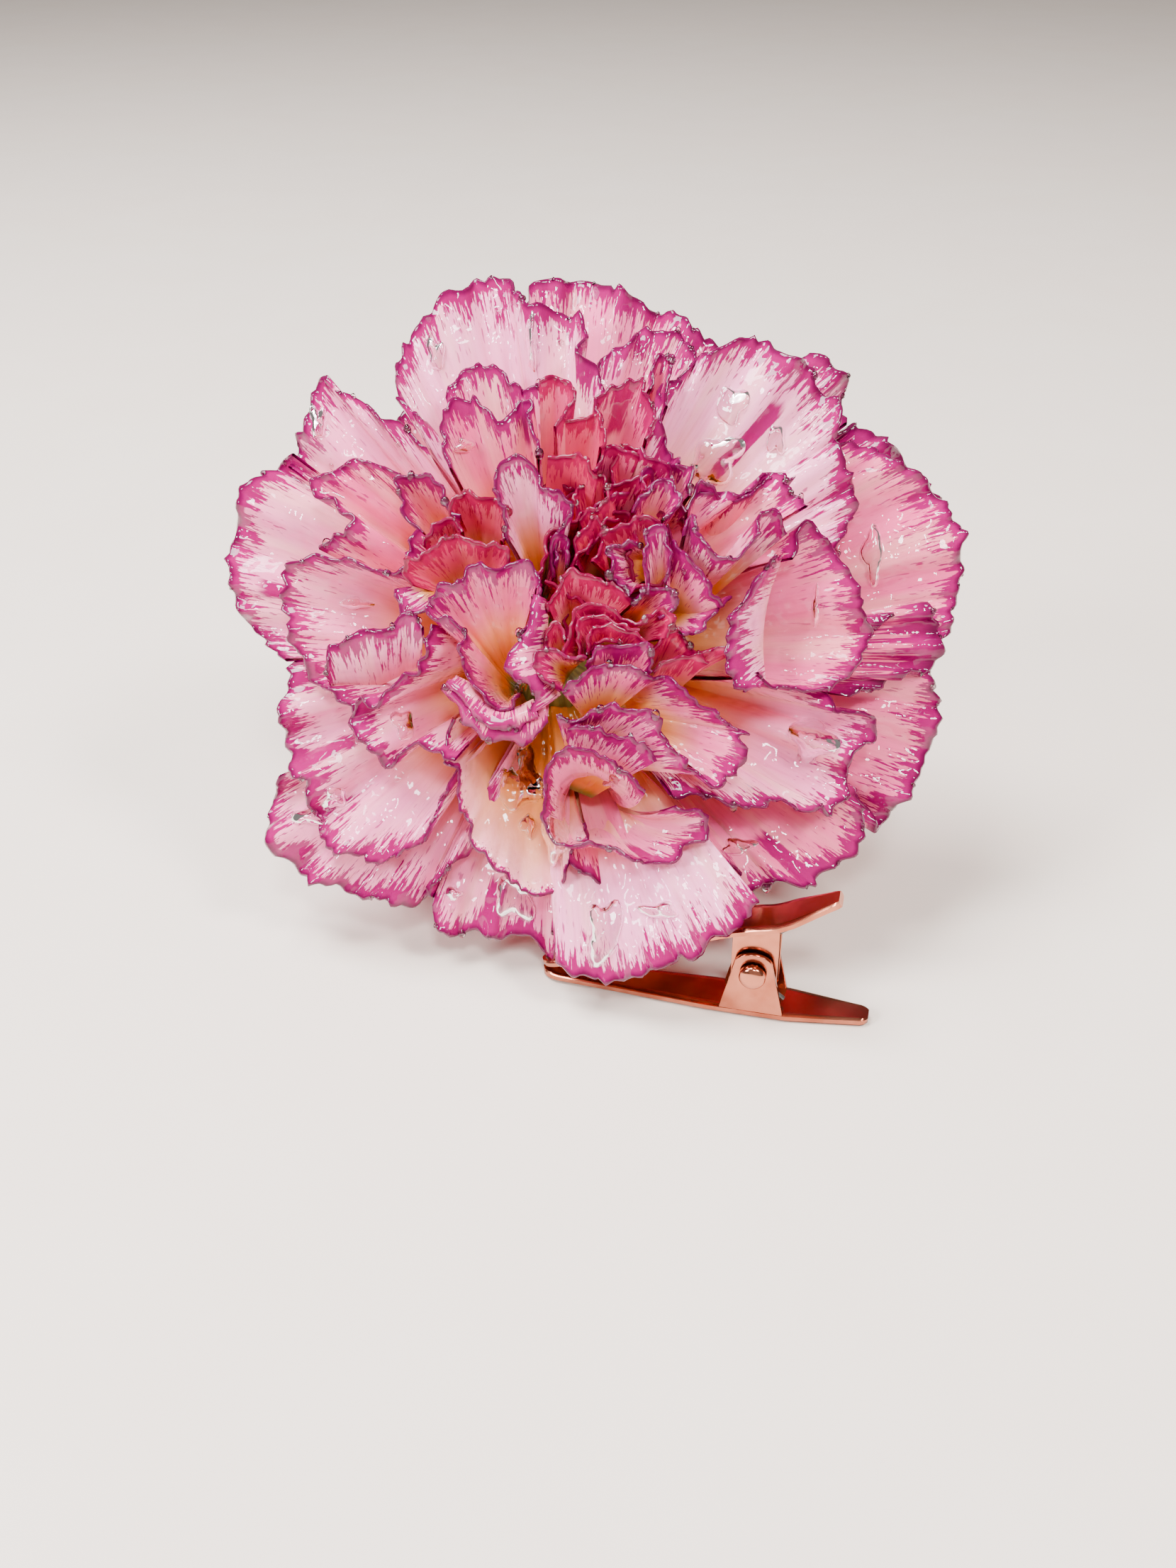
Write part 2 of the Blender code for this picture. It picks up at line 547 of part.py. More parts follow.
def join(body, others, operation="UNION"):
    """Boolean the other solids into the body, for good."""
    links = bpy.context.scene.collection.objects
    if body.name not in links:
        links.link(body)
    for other in others:
        if other.name not in links:
            links.link(other)
        step = body.modifiers.new("join", "BOOLEAN")
        step.operation = operation
        step.object = other
    bpy.context.view_layer.update()
    apply_modifiers(body)
    for other in others:
        bpy.data.objects.remove(other)
    links.unlink(body)
    return body


def apply_modifiers(body):
    """Keep the evaluated mesh and drop the modifiers."""
    graph = bpy.context.evaluated_depsgraph_get()
    mesh = bpy.data.meshes.new_from_object(body.evaluated_get(graph))
    old = body.data
    body.modifiers.clear()
    body.data = mesh
    mesh.name = body.name
    bpy.data.meshes.remove(old)


def keep_largest_shell(mesh):
    """Fill sealed hollows and drop loose scraps: only the largest outer shell stays."""
    shape = bmesh.new()
    shape.from_mesh(mesh)
    bmesh.ops.triangulate(shape, faces=shape.faces)
    unseen = set(shape.verts)
    shells = []
    while unseen:
        stack = [unseen.pop()]
        shell = set(stack)
        while stack:
            for edge in stack.pop().link_edges:
                for vert in edge.verts:
                    if vert in unseen:
                        unseen.discard(vert)
                        shell.add(vert)
                        stack.append(vert)
        faces = {face for vert in shell for face in vert.link_faces}
        volume = sum(f.verts[0].co.dot(f.verts[1].co.cross(f.verts[2].co)) for f in faces) / 6
        shells.append((volume, shell))
    shells.sort(key=lambda item: item[0])
    for _, shell in shells[:-1]:
        bmesh.ops.delete(shape, geom=list(shell), context="VERTS")
    shape.to_mesh(mesh)
    shape.free()


def core_solid():
    """Tapered bundle of claws that every petal grows from."""
    mesh = bpy.data.meshes.new("bloom")
    shape = bmesh.new()
    depth = (CORE_FRONT - CORE_BACK) * MM
    place = face_matrix(*CORE_CENTRE, (CORE_FRONT + CORE_BACK) / 2)
    bmesh.ops.create_cone(shape, cap_ends=True, segments=CORE_SIDES, radius1=CORE_RADIUS_BACK * MM,
                          radius2=CORE_RADIUS_FRONT * MM, depth=depth, matrix=place)
    shape.to_mesh(mesh)
    shape.free()
    return bpy.data.objects.new("bloom", mesh)


def add_bloom(parts, clearances):
    """Petals joined with the claw bundle, cut clear of the clip, the resin and the calyx."""
    petals = bpy.data.collections.new("petals")
    bpy.context.scene.collection.children.link(petals)
    for name, shape in all_petals().items():
        add_petal(name, shape, petals)
    bloom = core_solid()
    parts.objects.link(bloom)
    union = bloom.modifiers.new("petals", "BOOLEAN")
    union.operation = "UNION"
    union.operand_type = "COLLECTION"
    union.collection = petals
    union.solver = "MANIFOLD"
    bpy.context.view_layer.update()
    apply_modifiers(bloom)
    for petal in list(petals.objects):
        bpy.data.objects.remove(petal)
    bpy.data.collections.remove(petals)
    for clearance in clearances:
        cut = bloom.modifiers.new("clear", "BOOLEAN")
        cut.operation = "DIFFERENCE"
        cut.object = clearance
        cut.solver = "MANIFOLD"
    bpy.context.view_layer.update()
    apply_modifiers(bloom)
    keep_largest_shell(bloom.data)
    bloom.data.materials.clear()
    bloom.data.materials.append(material("petal", PINK, 0.3))
    return bloom


def turned_solid(name, rings, teeth=0.0, segments=20):
    """Solid of rings (radius, depth) round the bloom's axis; teeth raise the first two rings."""
    mesh = bpy.data.meshes.new(name)
    shape = bmesh.new()
    place = face_matrix(*CORE_CENTRE, 0)
    loops = []
    for number, (radius, depth) in enumerate(rings):
        loop = []
        for i in range(segments):
            angle = 2 * math.pi * i / segments
            rise = teeth * abs(math.cos(SEPALS / 2 * angle)) if number < 2 and teeth else 0.0
            spot = Vector((radius * math.cos(angle), radius * math.sin(angle), depth + rise)) * MM
            loop.append(shape.verts.new(place @ spot))
        loops.append(loop)
    for upper, lower in zip(loops, loops[1:]):
        for i in range(segments):
            j = (i + 1) % segments
            shape.faces.new((upper[i], lower[i], lower[j], upper[j]))
    shape.faces.new(loops[0])
    shape.faces.new(reversed(loops[-1]))
    bmesh.ops.triangulate(shape, faces=shape.faces)
    bmesh.ops.recalc_face_normals(shape, faces=shape.faces)
    shape.to_mesh(mesh)
    shape.free()
    return bpy.data.objects.new(name, mesh)


def add_calyx(parts):
    """Green cup with five sepal points, hollow round the claw bundle."""
    inner = CORE_RADIUS_FRONT + SOCKET_ROOM
    socket = [(inner, SOCKET_FRONT), (inner, CALYX_MOUTH),
              (inner - SOCKET_TAPER, CORE_BACK - GAP)]
    cup = turned_solid("calyx", [(inner, CALYX_MOUTH)] + CALYX_PROFILE, SEPAL_RISE)
    join(cup, [turned_solid("calyx_socket", socket)], "DIFFERENCE")
    shade_round(cup.data)
    return finished(cup, parts, material("calyx", CALYX_GREEN, 0.5))


def calyx_room():
    """Room for the calyx, less the claw bundle that stands in it."""
    room = turned_solid("calyx_room", CALYX_ROOM_PROFILE)
    keep = turned_solid("core_keep", CORE_KEEP_PROFILE)
    return join(room, [keep], "DIFFERENCE")


def strip_outline(half_width, tip_half_width, lever_end):
    """Plan of a clip strip: lever and jaw both taper, the jaw to a round tip."""
    rounded = JAW_ROUND - JAW_LENGTH
    lever_half = LEVER_TIP_WIDTH / 2
    corner = lever_end - LEVER_ROUND
    points = [(corner, -lever_half), (lever_end, LEVER_ROUND - lever_half),
              (lever_end, lever_half - LEVER_ROUND), (corner, lever_half), (LEVER_TAPER, half_width),
              (JAW_TAPER, half_width), (rounded, tip_half_width)]
    for step in range(1, 6):
        angle = math.pi / 2 + math.pi * step / 6
        points.append((rounded + JAW_ROUND * math.cos(angle), tip_half_width * math.sin(angle)))
    points += [(rounded, -tip_half_width), (JAW_TAPER, -half_width), (LEVER_TAPER, -half_width)]
    return points


def ear_outline(foot, top, foot_z, top_z):
    """Trapezoid ear with a rounded end, as (x, z)."""
    points = [(-foot, foot_z), (foot, foot_z)]
    bulge = EAR_BULGE * top if top_z > foot_z else -EAR_BULGE * top
    for step in range(7):
        angle = math.pi * step / 6
        points.append((top * math.cos(angle), top_z + bulge * math.sin(angle)))
    return points


def finished(piece, parts, finish):
    """Link a piece and give it its one material."""
    parts.objects.link(piece)
    piece.data.materials.clear()
    piece.data.materials.append(finish)
    return piece


def shade_round(mesh):
    """Smooth shading, with the sharp edges kept."""
    mesh.shade_smooth()
    mesh.set_sharp_from_angle(angle=math.radians(40))


def ear_pair(name, outline, outer):
    """Two upright ears whose outer faces stand at the given half width."""
    ears = []
    for side in (-1, 1):
        low, high = sorted((side * (outer - EAR_SHEET), side * outer))
        ears.append(prism(f"{name}_{side}", outline, low, high, "Y"))
    return ears


def pin_hole():
    """Cutter for the pin's hole through both ears."""
    return cylinder("hole", PIN_HOLE_RADIUS, -STRIP_WIDTH, STRIP_WIDTH, 0, PIN_HEIGHT)


def add_base_jaw():
    """Lower strip, flat on the surface, with two ears round the pin."""
    outline = strip_outline(STRIP_WIDTH / 2, JAW_TIP_WIDTH / 2, LEVER_LENGTH)
    blade = prism("base_jaw", outline, 0, SHEET, "Z")
    ear = ear_outline(EAR_FOOT, EAR_TOP, SHEET / 2, PIN_HEIGHT + EAR_RISE)
    join(blade, ear_pair("ear", ear, STRIP_WIDTH / 2 - EAR_INSET))
    return join(blade, [pin_hole()], "DIFFERENCE")


def upper_profile():
    """Side view of the upper strip, as (x, z): jaw tip, bend over the pin, lever tip."""
    tip_x, tip_z = UPPER_LEVER_TIP
    jaw_z = SHEET + GAP
    under = [(-JAW_LENGTH, jaw_z), (BEND_FRONT, BEND_HEIGHT), (BEND_BACK, BEND_HEIGHT),
             (tip_x, tip_z - SHEET)]
    over = [(tip_x - BEND_SHIFT, tip_z), (BEND_BACK - BEND_SHIFT, BEND_HEIGHT + SHEET),
            (BEND_FRONT - BEND_SHIFT, BEND_HEIGHT + SHEET), (-JAW_LENGTH, jaw_z + JAW_TIP_SHEET)]
    return under + over


def add_top_jaw():
    """Upper strip: a bent sheet, tapered in plan, with two ears inside the lower ones."""
    strip = prism("top_jaw", upper_profile(), -STRIP_WIDTH / 2, STRIP_WIDTH / 2, "Y")
    plan = prism("plan", strip_outline(UPPER_HALF_WIDTH, JAW_TIP_WIDTH / 2, UPPER_LEVER_TIP[0]),
                 0, UPPER_LEVER_TIP[1] + 1, "Z")
    join(strip, [plan], "INTERSECT")
    ear = ear_outline(UPPER_EAR_HALF, UPPER_EAR_HALF, BEND_HEIGHT + SHEET / 2,
                      PIN_HEIGHT - UPPER_EAR_DROP)
    join(strip, ear_pair("upper_ear", ear, STRIP_WIDTH / 2 - EAR_INSET - EAR_SHEET - GAP))
    return join(strip, [pin_hole()], "DIFFERENCE")


def rivet_head(side):
    """Low rivet head outside one lower ear: a drum with a bevelled face."""
    mesh = bpy.data.meshes.new("head")
    shape = bmesh.new()
    rings = []
    for y, radius in ((PIN_HEAD_BASE, PIN_HEAD_RADIUS), (PIN_HEAD_RIM, PIN_HEAD_RADIUS),
                      (PIN_HEAD_FACE, PIN_HEAD_FACE_RADIUS)):
        ring = []
        for step in range(PIN_HEAD_SIDES):
            angle = 2 * math.pi * step / PIN_HEAD_SIDES
            spot = Vector((radius * math.cos(angle), side * y, PIN_HEIGHT + radius * math.sin(angle)))
            ring.append(shape.verts.new(spot * MM))
        rings.append(ring)
    for low, high in zip(rings, rings[1:]):
        for i in range(PIN_HEAD_SIDES):
            j = (i + 1) % PIN_HEAD_SIDES
            shape.faces.new((low[i], low[j], high[j], high[i]))
    shape.faces.new(rings[0])
    shape.faces.new(rings[-1])
    bmesh.ops.recalc_face_normals(shape, faces=shape.faces)
    shape.to_mesh(mesh)
    shape.free()
    return bpy.data.objects.new("head", mesh)


def add_pin():
    """Pin with a low rivet head outside each lower ear."""
    pin = cylinder("hinge_pin", PIN_RADIUS, -PIN_HEAD_RIM, PIN_HEAD_RIM, 0, PIN_HEIGHT, 12)
    join(pin, [rivet_head(-1), rivet_head(1)])
    shade_round(pin.data)
    return pin


def add_spring():
    """Coil round the pin, with one leg under the upper lever and one above the lower lever."""
    points = [(LOWER_LEG_END[0], -COIL_HALF_WIDTH, LOWER_LEG_END[1])]
    for step in range(COIL_STEPS + 1):
        part = step / COIL_STEPS
        angle = -math.pi / 2 - 2 * math.pi * COIL_TURNS * part
        points.append((COIL_RADIUS * math.cos(angle), COIL_HALF_WIDTH * (2 * part - 1),
                       PIN_HEIGHT + COIL_RADIUS * math.sin(angle)))
    points.append((UPPER_LEG_END[0], COIL_HALF_WIDTH, UPPER_LEG_END[1]))
    curve = bpy.data.curves.new("spring", "CURVE")
    curve.dimensions = "3D"
    curve.bevel_depth = WIRE_RADIUS * MM
    curve.bevel_resolution = 1
    curve.use_fill_caps = True
    line = curve.splines.new("POLY")
    line.points.add(len(points) - 1)
    line.use_smooth = True
    for point, spot in zip(line.points, points):
        point.co = (spot[0] * MM, spot[1] * MM, spot[2] * MM, 1)
    return bpy.data.objects.new("spring", curve)


def resin_section(grow):
    """Cross-section of the resin wedge at the pin end, as (y, height above the jaw)."""
    return [(RESIN_FRONT - grow, GAP - grow), (RESIN_REAR + grow, GAP - grow),
            (RESIN_REAR + grow, RESIN_REAR_HEIGHT + grow),
            (RESIN_FRONT - grow, RESIN_FRONT_HEIGHT + grow)]


def resin_wedge(name, grow=0.0):
    """Resin between the upper jaw and the lowest petals: thin in front, thick behind."""
    mesh = bpy.data.meshes.new(name)
    shape = bmesh.new()
    slope = (BEND_HEIGHT - SHEET - GAP) / (JAW_LENGTH + BEND_FRONT)
    rings = []
    for station in range(RESIN_STATIONS):
        part = station / (RESIN_STATIONS - 1)
        x = RESIN_FROM - grow + (RESIN_TO - RESIN_FROM + 2 * grow) * part
        floor = BEND_HEIGHT + SHEET + slope * (x - BEND_FRONT)
        swell = RESIN_END_SWELL + (1 - RESIN_END_SWELL) * math.sin(math.pi * part)
        narrow = RESIN_END_WIDTH + (1 - RESIN_END_WIDTH) * min(1.0, RESIN_STATIONS * part / 2)
        ring = []
        for y, height in resin_section(grow):
            lift = height if height <= GAP else GAP + (height - GAP) * swell
            ring.append(shape.verts.new(Vector((x, y * narrow, floor + lift)) * MM))
        rings.append(ring)
    for left, right in zip(rings, rings[1:]):
        for i in range(4):
            j = (i + 1) % 4
            shape.faces.new((left[i], left[j], right[j], right[i]))
    shape.faces.new(rings[0])
    shape.faces.new(reversed(rings[-1]))
    bmesh.ops.recalc_face_normals(shape, faces=shape.faces)
    shape.to_mesh(mesh)
    shape.free()
    return bpy.data.objects.new(name, mesh)


def clip_room():
    """Room for the clip and for the swing of its lower lever, as seen from the side."""
    tip_x, tip_z = UPPER_LEVER_TIP
    over = BEND_HEIGHT + SHEET + STRIP_ROOM
    far_left = -JAW_LENGTH - 1
    far_right = LEVER_LENGTH + LEVER_SWING_ROOM[0]
    outline = [(far_left, -CLIP_ROOM_BELOW), (far_right, -CLIP_ROOM_BELOW),
               (far_right, LEVER_SWING_ROOM[1]),
               (tip_x + STRIP_ROOM, tip_z + STRIP_ROOM), (tip_x - STRIP_ROOM, tip_z + STRIP_ROOM),
               (BEND_BACK - GAP, over), (BEND_FRONT - GAP, over),
               (far_left, SHEET + GAP + JAW_TIP_ROOM)]
    return prism("clip_room", outline, -CLIP_ROOM_HALF_WIDTH, CLIP_ROOM_HALF_WIDTH, "Y")


def main():
    for old in list(bpy.data.objects):
        bpy.data.objects.remove(old)
    scene = bpy.context.scene
    parts = bpy.data.collections.new("carnation_hair_clip")
    cutters = bpy.data.collections.new("cutters")
    scene.collection.children.link(parts)
    scene.collection.children.link(cutters)

    hinge_axis = bpy.data.objects.new("hinge_axis", None)
    hinge_axis.location = (0, 0, PIN_HEIGHT * MM)
    hinge_axis.rotation_euler = (0, 0, CLIP_YAW)
    parts.objects.link(hinge_axis)
    bpy.context.view_layer.update()

    metal = material("rose_gold", ROSE_GOLD, 0.25, 1.0)
    steel = material("spring_steel", STEEL_GREY, 0.3, 1.0)
    resin = material("resin", RESIN_CLEAR, 0.05)
    in_clip_frame = [finished(add_base_jaw(), parts, metal), finished(add_top_jaw(), parts, metal),
                     finished(add_pin(), parts, metal), finished(add_spring(), parts, steel),
                     finished(resin_wedge("resin_bed"), parts, resin)]
    calyx = add_calyx(parts)

    head_room = cylinder("head_room", HEAD_ROOM[0], -HEAD_ROOM[1], HEAD_ROOM[1], 0, PIN_HEIGHT)
    for cutter in (clip_room(), head_room, resin_wedge("resin_room", RESIN_ROOM)):
        in_clip_frame.append(hidden_cutter(cutter, cutters))
    for piece in in_clip_frame:
        piece.parent = hinge_axis
        piece.location = (0, 0, -PIN_HEIGHT * MM)
    hidden_cutter(calyx_room(), cutters)
    cut_box("floor", cutters, *FLOOR_ROOM)
    bpy.context.view_layer.update()
    bloom = add_bloom(parts, list(cutters.objects))
    for piece in (calyx, bloom):
        piece.parent = hinge_axis
        piece.matrix_parent_inverse = hinge_axis.matrix_world.inverted()


main()
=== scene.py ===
"""Look of the carnation hair clip: a resin-coated picotee carnation on a rose-gold sprung clip.

Petals are written in the bloom's face frame, in millimetres: across (to the right), up (along the
face) and toward (out of the face). Across and up are read face-on, as seen from VIEW_DISTANCE.
"""

import math
import random

import bmesh
import bpy
import numpy as np
from mathutils import Matrix, Vector
from mathutils.bvhtree import BVHTree


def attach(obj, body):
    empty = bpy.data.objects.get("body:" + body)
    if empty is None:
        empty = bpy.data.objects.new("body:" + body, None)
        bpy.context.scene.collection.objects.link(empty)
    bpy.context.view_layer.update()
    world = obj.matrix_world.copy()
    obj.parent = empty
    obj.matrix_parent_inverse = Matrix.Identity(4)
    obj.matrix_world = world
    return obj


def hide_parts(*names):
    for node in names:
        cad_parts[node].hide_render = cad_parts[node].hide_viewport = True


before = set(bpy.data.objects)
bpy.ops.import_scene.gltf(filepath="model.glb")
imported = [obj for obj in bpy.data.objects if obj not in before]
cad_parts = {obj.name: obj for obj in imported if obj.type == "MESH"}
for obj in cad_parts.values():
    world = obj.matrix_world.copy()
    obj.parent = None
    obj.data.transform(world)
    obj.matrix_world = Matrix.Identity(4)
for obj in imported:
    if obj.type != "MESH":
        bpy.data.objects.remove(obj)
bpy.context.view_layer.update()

MM = 0.001

# The bloom's face
FACE_TILT = math.radians(28)
FACE_CENTRE = np.array((-14.6, 20.45, 27.0))
VIEW_DISTANCE = 150.0
FLOOR_SOFTNESS = 0.5

# Petals
PETAL_THICKNESS = 0.34
BASE_THICKENING = 0.8
RIM_BEAD = 0.45
CLAW_WIDTH = 4.0
CLAW_REACH = 3.4
CLAW_DEPTH = -9.86
CLAW_DEPTH_SLOPE = 0.32
LIMB_LIFT = 7.0
RIM_STEP = 0.32
RIM_SPANS = (16, 230)
ROW_STEP = 0.85
ROWS = (8, 34)
NOISE_SHIFT = 41.0
TINY = 1e-9

# Waves across the blade: swing, wavelength, and, but for the pleats, a power that keeps them near
# the rim
RUFFLES = [(0.95, 7.5, 3), (0.42, 3.1, 7)]
CRINKLE = (0.16, 1.5, 12)
PLEATS = (0.05, 2.6)

# Cuts into the rim: depth, wavelength or pitch, and the same power
SCALLOPS = (0.35, 4.2, 10)
TEETH = [(0.5, 2.1, 24), (0.62, 0.75, 36)]

# Small petals deep in the centre
GOLDEN_ANGLE = 2.39996
FILLER_COUNT = 26
FILLER_CENTRE = (2.0, 8.0)
FILLER_SPREAD = (7.5, 9.5)
FILLER_TOWARD = 10.4
FILLER_SCATTER = 1.2
FILLER_SINK = 1.5
FILLER_TURN = 0.6
FILLER_WIDTH = 4.6
FILLER_BULGE = 1.0
FILLER_TINTS = (1.1, 1.8)

# Petals behind the face, and the two that bend back down to the surface
GUARD_COUNT = 8
GUARD_START = math.radians(22)
GUARD_SPREAD = math.radians(54)
GUARD_REACH = 27.5
GUARD_SHIFT = -1.6
GUARD_DEPTH = -7.0
PROP_RIM = [(-8, -12.5, -19), (-5, -15.5, -23), (0, -17, -24.5), (5, -15.5, -23), (8, -12.5, -19)]
PROP_SHIFTS = {"prop_left": -14.0, "prop_right": 8.0}

# How each group of petals is made: the middle's lift, the ruffle's strength, the claw's width and
# place, the tint, the margin's narrowness, and the lowest and highest place on the base's colours
OUTER_LOOK = dict(ruffle=1.35)
MIDDLE_LOOK = dict(lift=5.0)
CENTRE_LOOK = dict(lift=2.0, ruffle=0.6)
CREAM_LOOK = dict(lift=3.0, tint=0.0, high=0.6, margin=5.0, ruffle=0.7)
RUFFLED_LOOK = dict(lift=0.5, ruffle=0.4, claw=2.4)
FUNNEL_LOOK = dict(ruffle=0.45)
FLAP_LOOK = dict(lift=1.6, ruffle=0.4, low=0.6)
FILLER_LOOK = dict(lift=0.0, claw=2.0, ruffle=0.8)
GUARD_LOOK = dict(lift=6.0, tint=0.7)
PROP_LOOK = dict(lift=15.0, root=(-4.0, -4.4, -8.0), tint=0.6, ruffle=0.4)

# Narrowness of the coloured margins: small numbers are wide
OUTER_MARGIN = 0.9
DARK_MARGINS = {"right_dark": 0.3, "right_back": 0.6, "crown_flap": 0.6}
FLAP_MARGINS = {"left_fold": 0.8, "roll_side": 0.7, "funnel_lip": 0.9, "skirt_front": 1.0,
                "skirt_back": 1.0}

# The bundle of claws, and the calyx behind it
CORE_CENTRE = (-4.0, -1.0)
CORE_FRONT = -4.0
CORE_BACK = -20.0
CORE_RADIUS_FRONT = 5.6
CORE_RADIUS_BACK = 4.6
CALYX_MOUTH = -13.0
CALYX_END = -25.0
CALYX_RADIUS = 6.3
STEM_RADIUS = 3.6
SEPALS = 5
SEPAL_REACH = 1.6
CALYX_BULGE = 0.35
CALYX_TAPER = 3.75
CALYX_TAPER_START = 0.45
CALYX_RIB = 0.09
CALYX_STEPS = 12
CALYX_SIDES = 80
CORE_RIB = 0.25
CORE_STEPS = 8
CORE_SIDES = 60

# The clip, in its own frame: X along the strips towards the levers, the pin across
CLIP_YAW = math.radians(-13)
PIN_HEIGHT = 5.0
PIN_RADIUS = 0.7
PIN_HEAD_RADIUS = 1.22
PIN_HOLE_RADIUS = 1.0
PIN_HEAD_BASE = 2.3
PIN_HEAD_RISE = 0.85
PIN_HEAD_FLANK = 0.3
PIN_HEAD_FULLNESS = 0.8
PIN_HEAD_STEPS = 12
PIN_SIDES = 56
SHEET = 0.7
EAR_SHEET = 0.4
EAR_INSET = 0.05
EAR_FOOT = 3.0
EAR_TOP = 1.75
EAR_RISE = 0.9
EAR_BULGE = 0.7
EAR_STEPS = 16
HOLE_POINTS = 48
UPPER_EAR_HALF = 2.1
UPPER_EAR_DROP = 2.6
SOFT_EDGE = 0.06
STRIP_EDGE = 0.14
STRIP_EDGE_START = 0.9
STRIP_SPANS = 150
STRIP_HALF_STEPS = 6
STRIP_WIDTH = 4.2
UPPER_HALF_WIDTH = 2.0
JAW_LENGTH = 20.0
JAW_TAPER = -4.0
JAW_TIP_WIDTH = 2.6
JAW_ROUND = 2.0
LEVER_TAPER = 3.2
LEVER_TIP_WIDTH = 2.4
LEVER_ROUND = 1.0
LEVER_LENGTH = 10.6
UPPER_LEVER_TIP = (7.3, 13.6)
UPPER_JAW_LIFT = 0.3
UPPER_JAW_MIDDLE = 12
BEND_HEIGHT = 9.2
BEND_FRONT = -1.2
BEND_LEAD = 2.5
BEND_MIDDLE = -0.3
BEND_BACK = (2.1, 0.75)
LEVER_SETBACK = (0.25, 0.42)
COIL_RADIUS = 1.5
COIL_TURNS = 1.5
COIL_HALF_WIDTH = 0.45
COIL_STEPS = 96
LOWER_LEG_END = (2.8, 1.3)
UPPER_LEG_END = (4.6, 10.6)
WIRE_RADIUS = 0.22
GAP = 0.3

# Rim points of each petal, as (across, up, toward)
OUTER_PETALS = {
    "crown_back": [(-7, 30, -5), (-5.5, 32.5, -4), (-1.5, 33, -4), (1.5, 32, -4),
                   (5.5, 30.5, -3), (8.5, 29, -3), (12, 26, -2)],
    "crown_left": [(-15, 19, 2), (-18.5, 23.5, 1), (-17, 28, 0), (-13, 32, -1), (-8, 33, -1),
                   (-5.5, 30.5, 1), (-1.5, 29.5, 2), (0, 25, 4), (0.5, 20.5, 5)],
    "crown_front": [(0, 25, 2), (2, 27, 1), (5, 28.5, 0), (8, 28, 0), (10, 24, 1)],
    "crown_right": [(8, 16, 6), (6, 19.5, 5), (8, 24.5, 3), (13, 27.5, 2), (18, 26, 2),
                    (22.5, 21.5, 2), (22.5, 18, 3), (24, 13.5, 3), (22.5, 7.5, 5)],
    "crown_flap": [(17, 25, -1), (21, 26, -2), (23, 23.5, -2), (23, 20, -2)],
    "right_upper": [(21, 17, -1), (23.5, 18.5, -1), (27.5, 16.5, 0), (31, 14.5, 0), (34, 9.5, 0),
                    (34, 4.5, 0), (32.5, 0, 1), (31, -2.5, 1)],
    "right_back": [(22, 19, -3), (25, 19.5, -4), (28.5, 17, -4), (33, 11, -4), (34.2, 6, -4)],
    "right_dark": [(23.5, 0.2, 3), (25.5, 1.2, 2.5), (27.7, 2.2, 3.2), (29.4, 2.2, 2.2),
                   (30.9, 2.8, 2.6), (32, 1.6, 2), (32.2, -0.6, 2.8), (31.6, -2.8, 2.2),
                   (29, -3.6, 3.8), (26.5, -4.6, 3.4), (23.9, -5, 4.6)],
    "right_lower": [(30, -1, 1), (32, -5, 1), (32, -9, 1), (31, -12, 1), (29, -15.5, 2),
                    (27, -17, 2), (24.5, -14, 3)],
    "left_horn": [(-28.5, 16, -1), (-26.5, 21, -1), (-25, 24.5, -1), (-23, 22.5, 0),
                  (-19.5, 20.5, 1), (-16, 18, 2)],
    "left_outer": [(-28, 17, -1), (-32, 14.5, -1), (-34, 9, -1), (-34, 5, -1), (-32.5, 1.5, -1),
                   (-29, -2, 0)],
    "low_left_front": [(-28.5, -2, 2), (-29.5, -6, 2), (-29, -10.5, 2), (-27.5, -14, 3),
                       (-26, -18.5, 3), (-23, -20.5, 4), (-19, -20.5, 5), (-15.5, -17.5, 6),
                       (-13.5, -12, 7)],
    "low_left_back": [(-30, -13, 0), (-31, -18.5, 0), (-28, -22, 1), (-22.5, -24, 1),
                      (-18, -25, 2), (-14, -22, 3), (-11, -18, 4), (-10.5, -14.5, 5)],
    "bottom_centre": [(-16, -23.5, 2), (-15, -27.5, 2), (-10.5, -28, 2.5), (-6.5, -28.5, 3),
                      (-4, -30, 3.5), (-3, -26, 5), (-1, -23, 6)],
    "bottom_right": [(-4, -28, 6.5), (-2.5, -31.5, 8), (2, -32.5, 9.5), (6.5, -31, 10.5),
                     (10, -29.5, 11.5), (13, -27.5, 12), (15.5, -25, 11.5)],
}
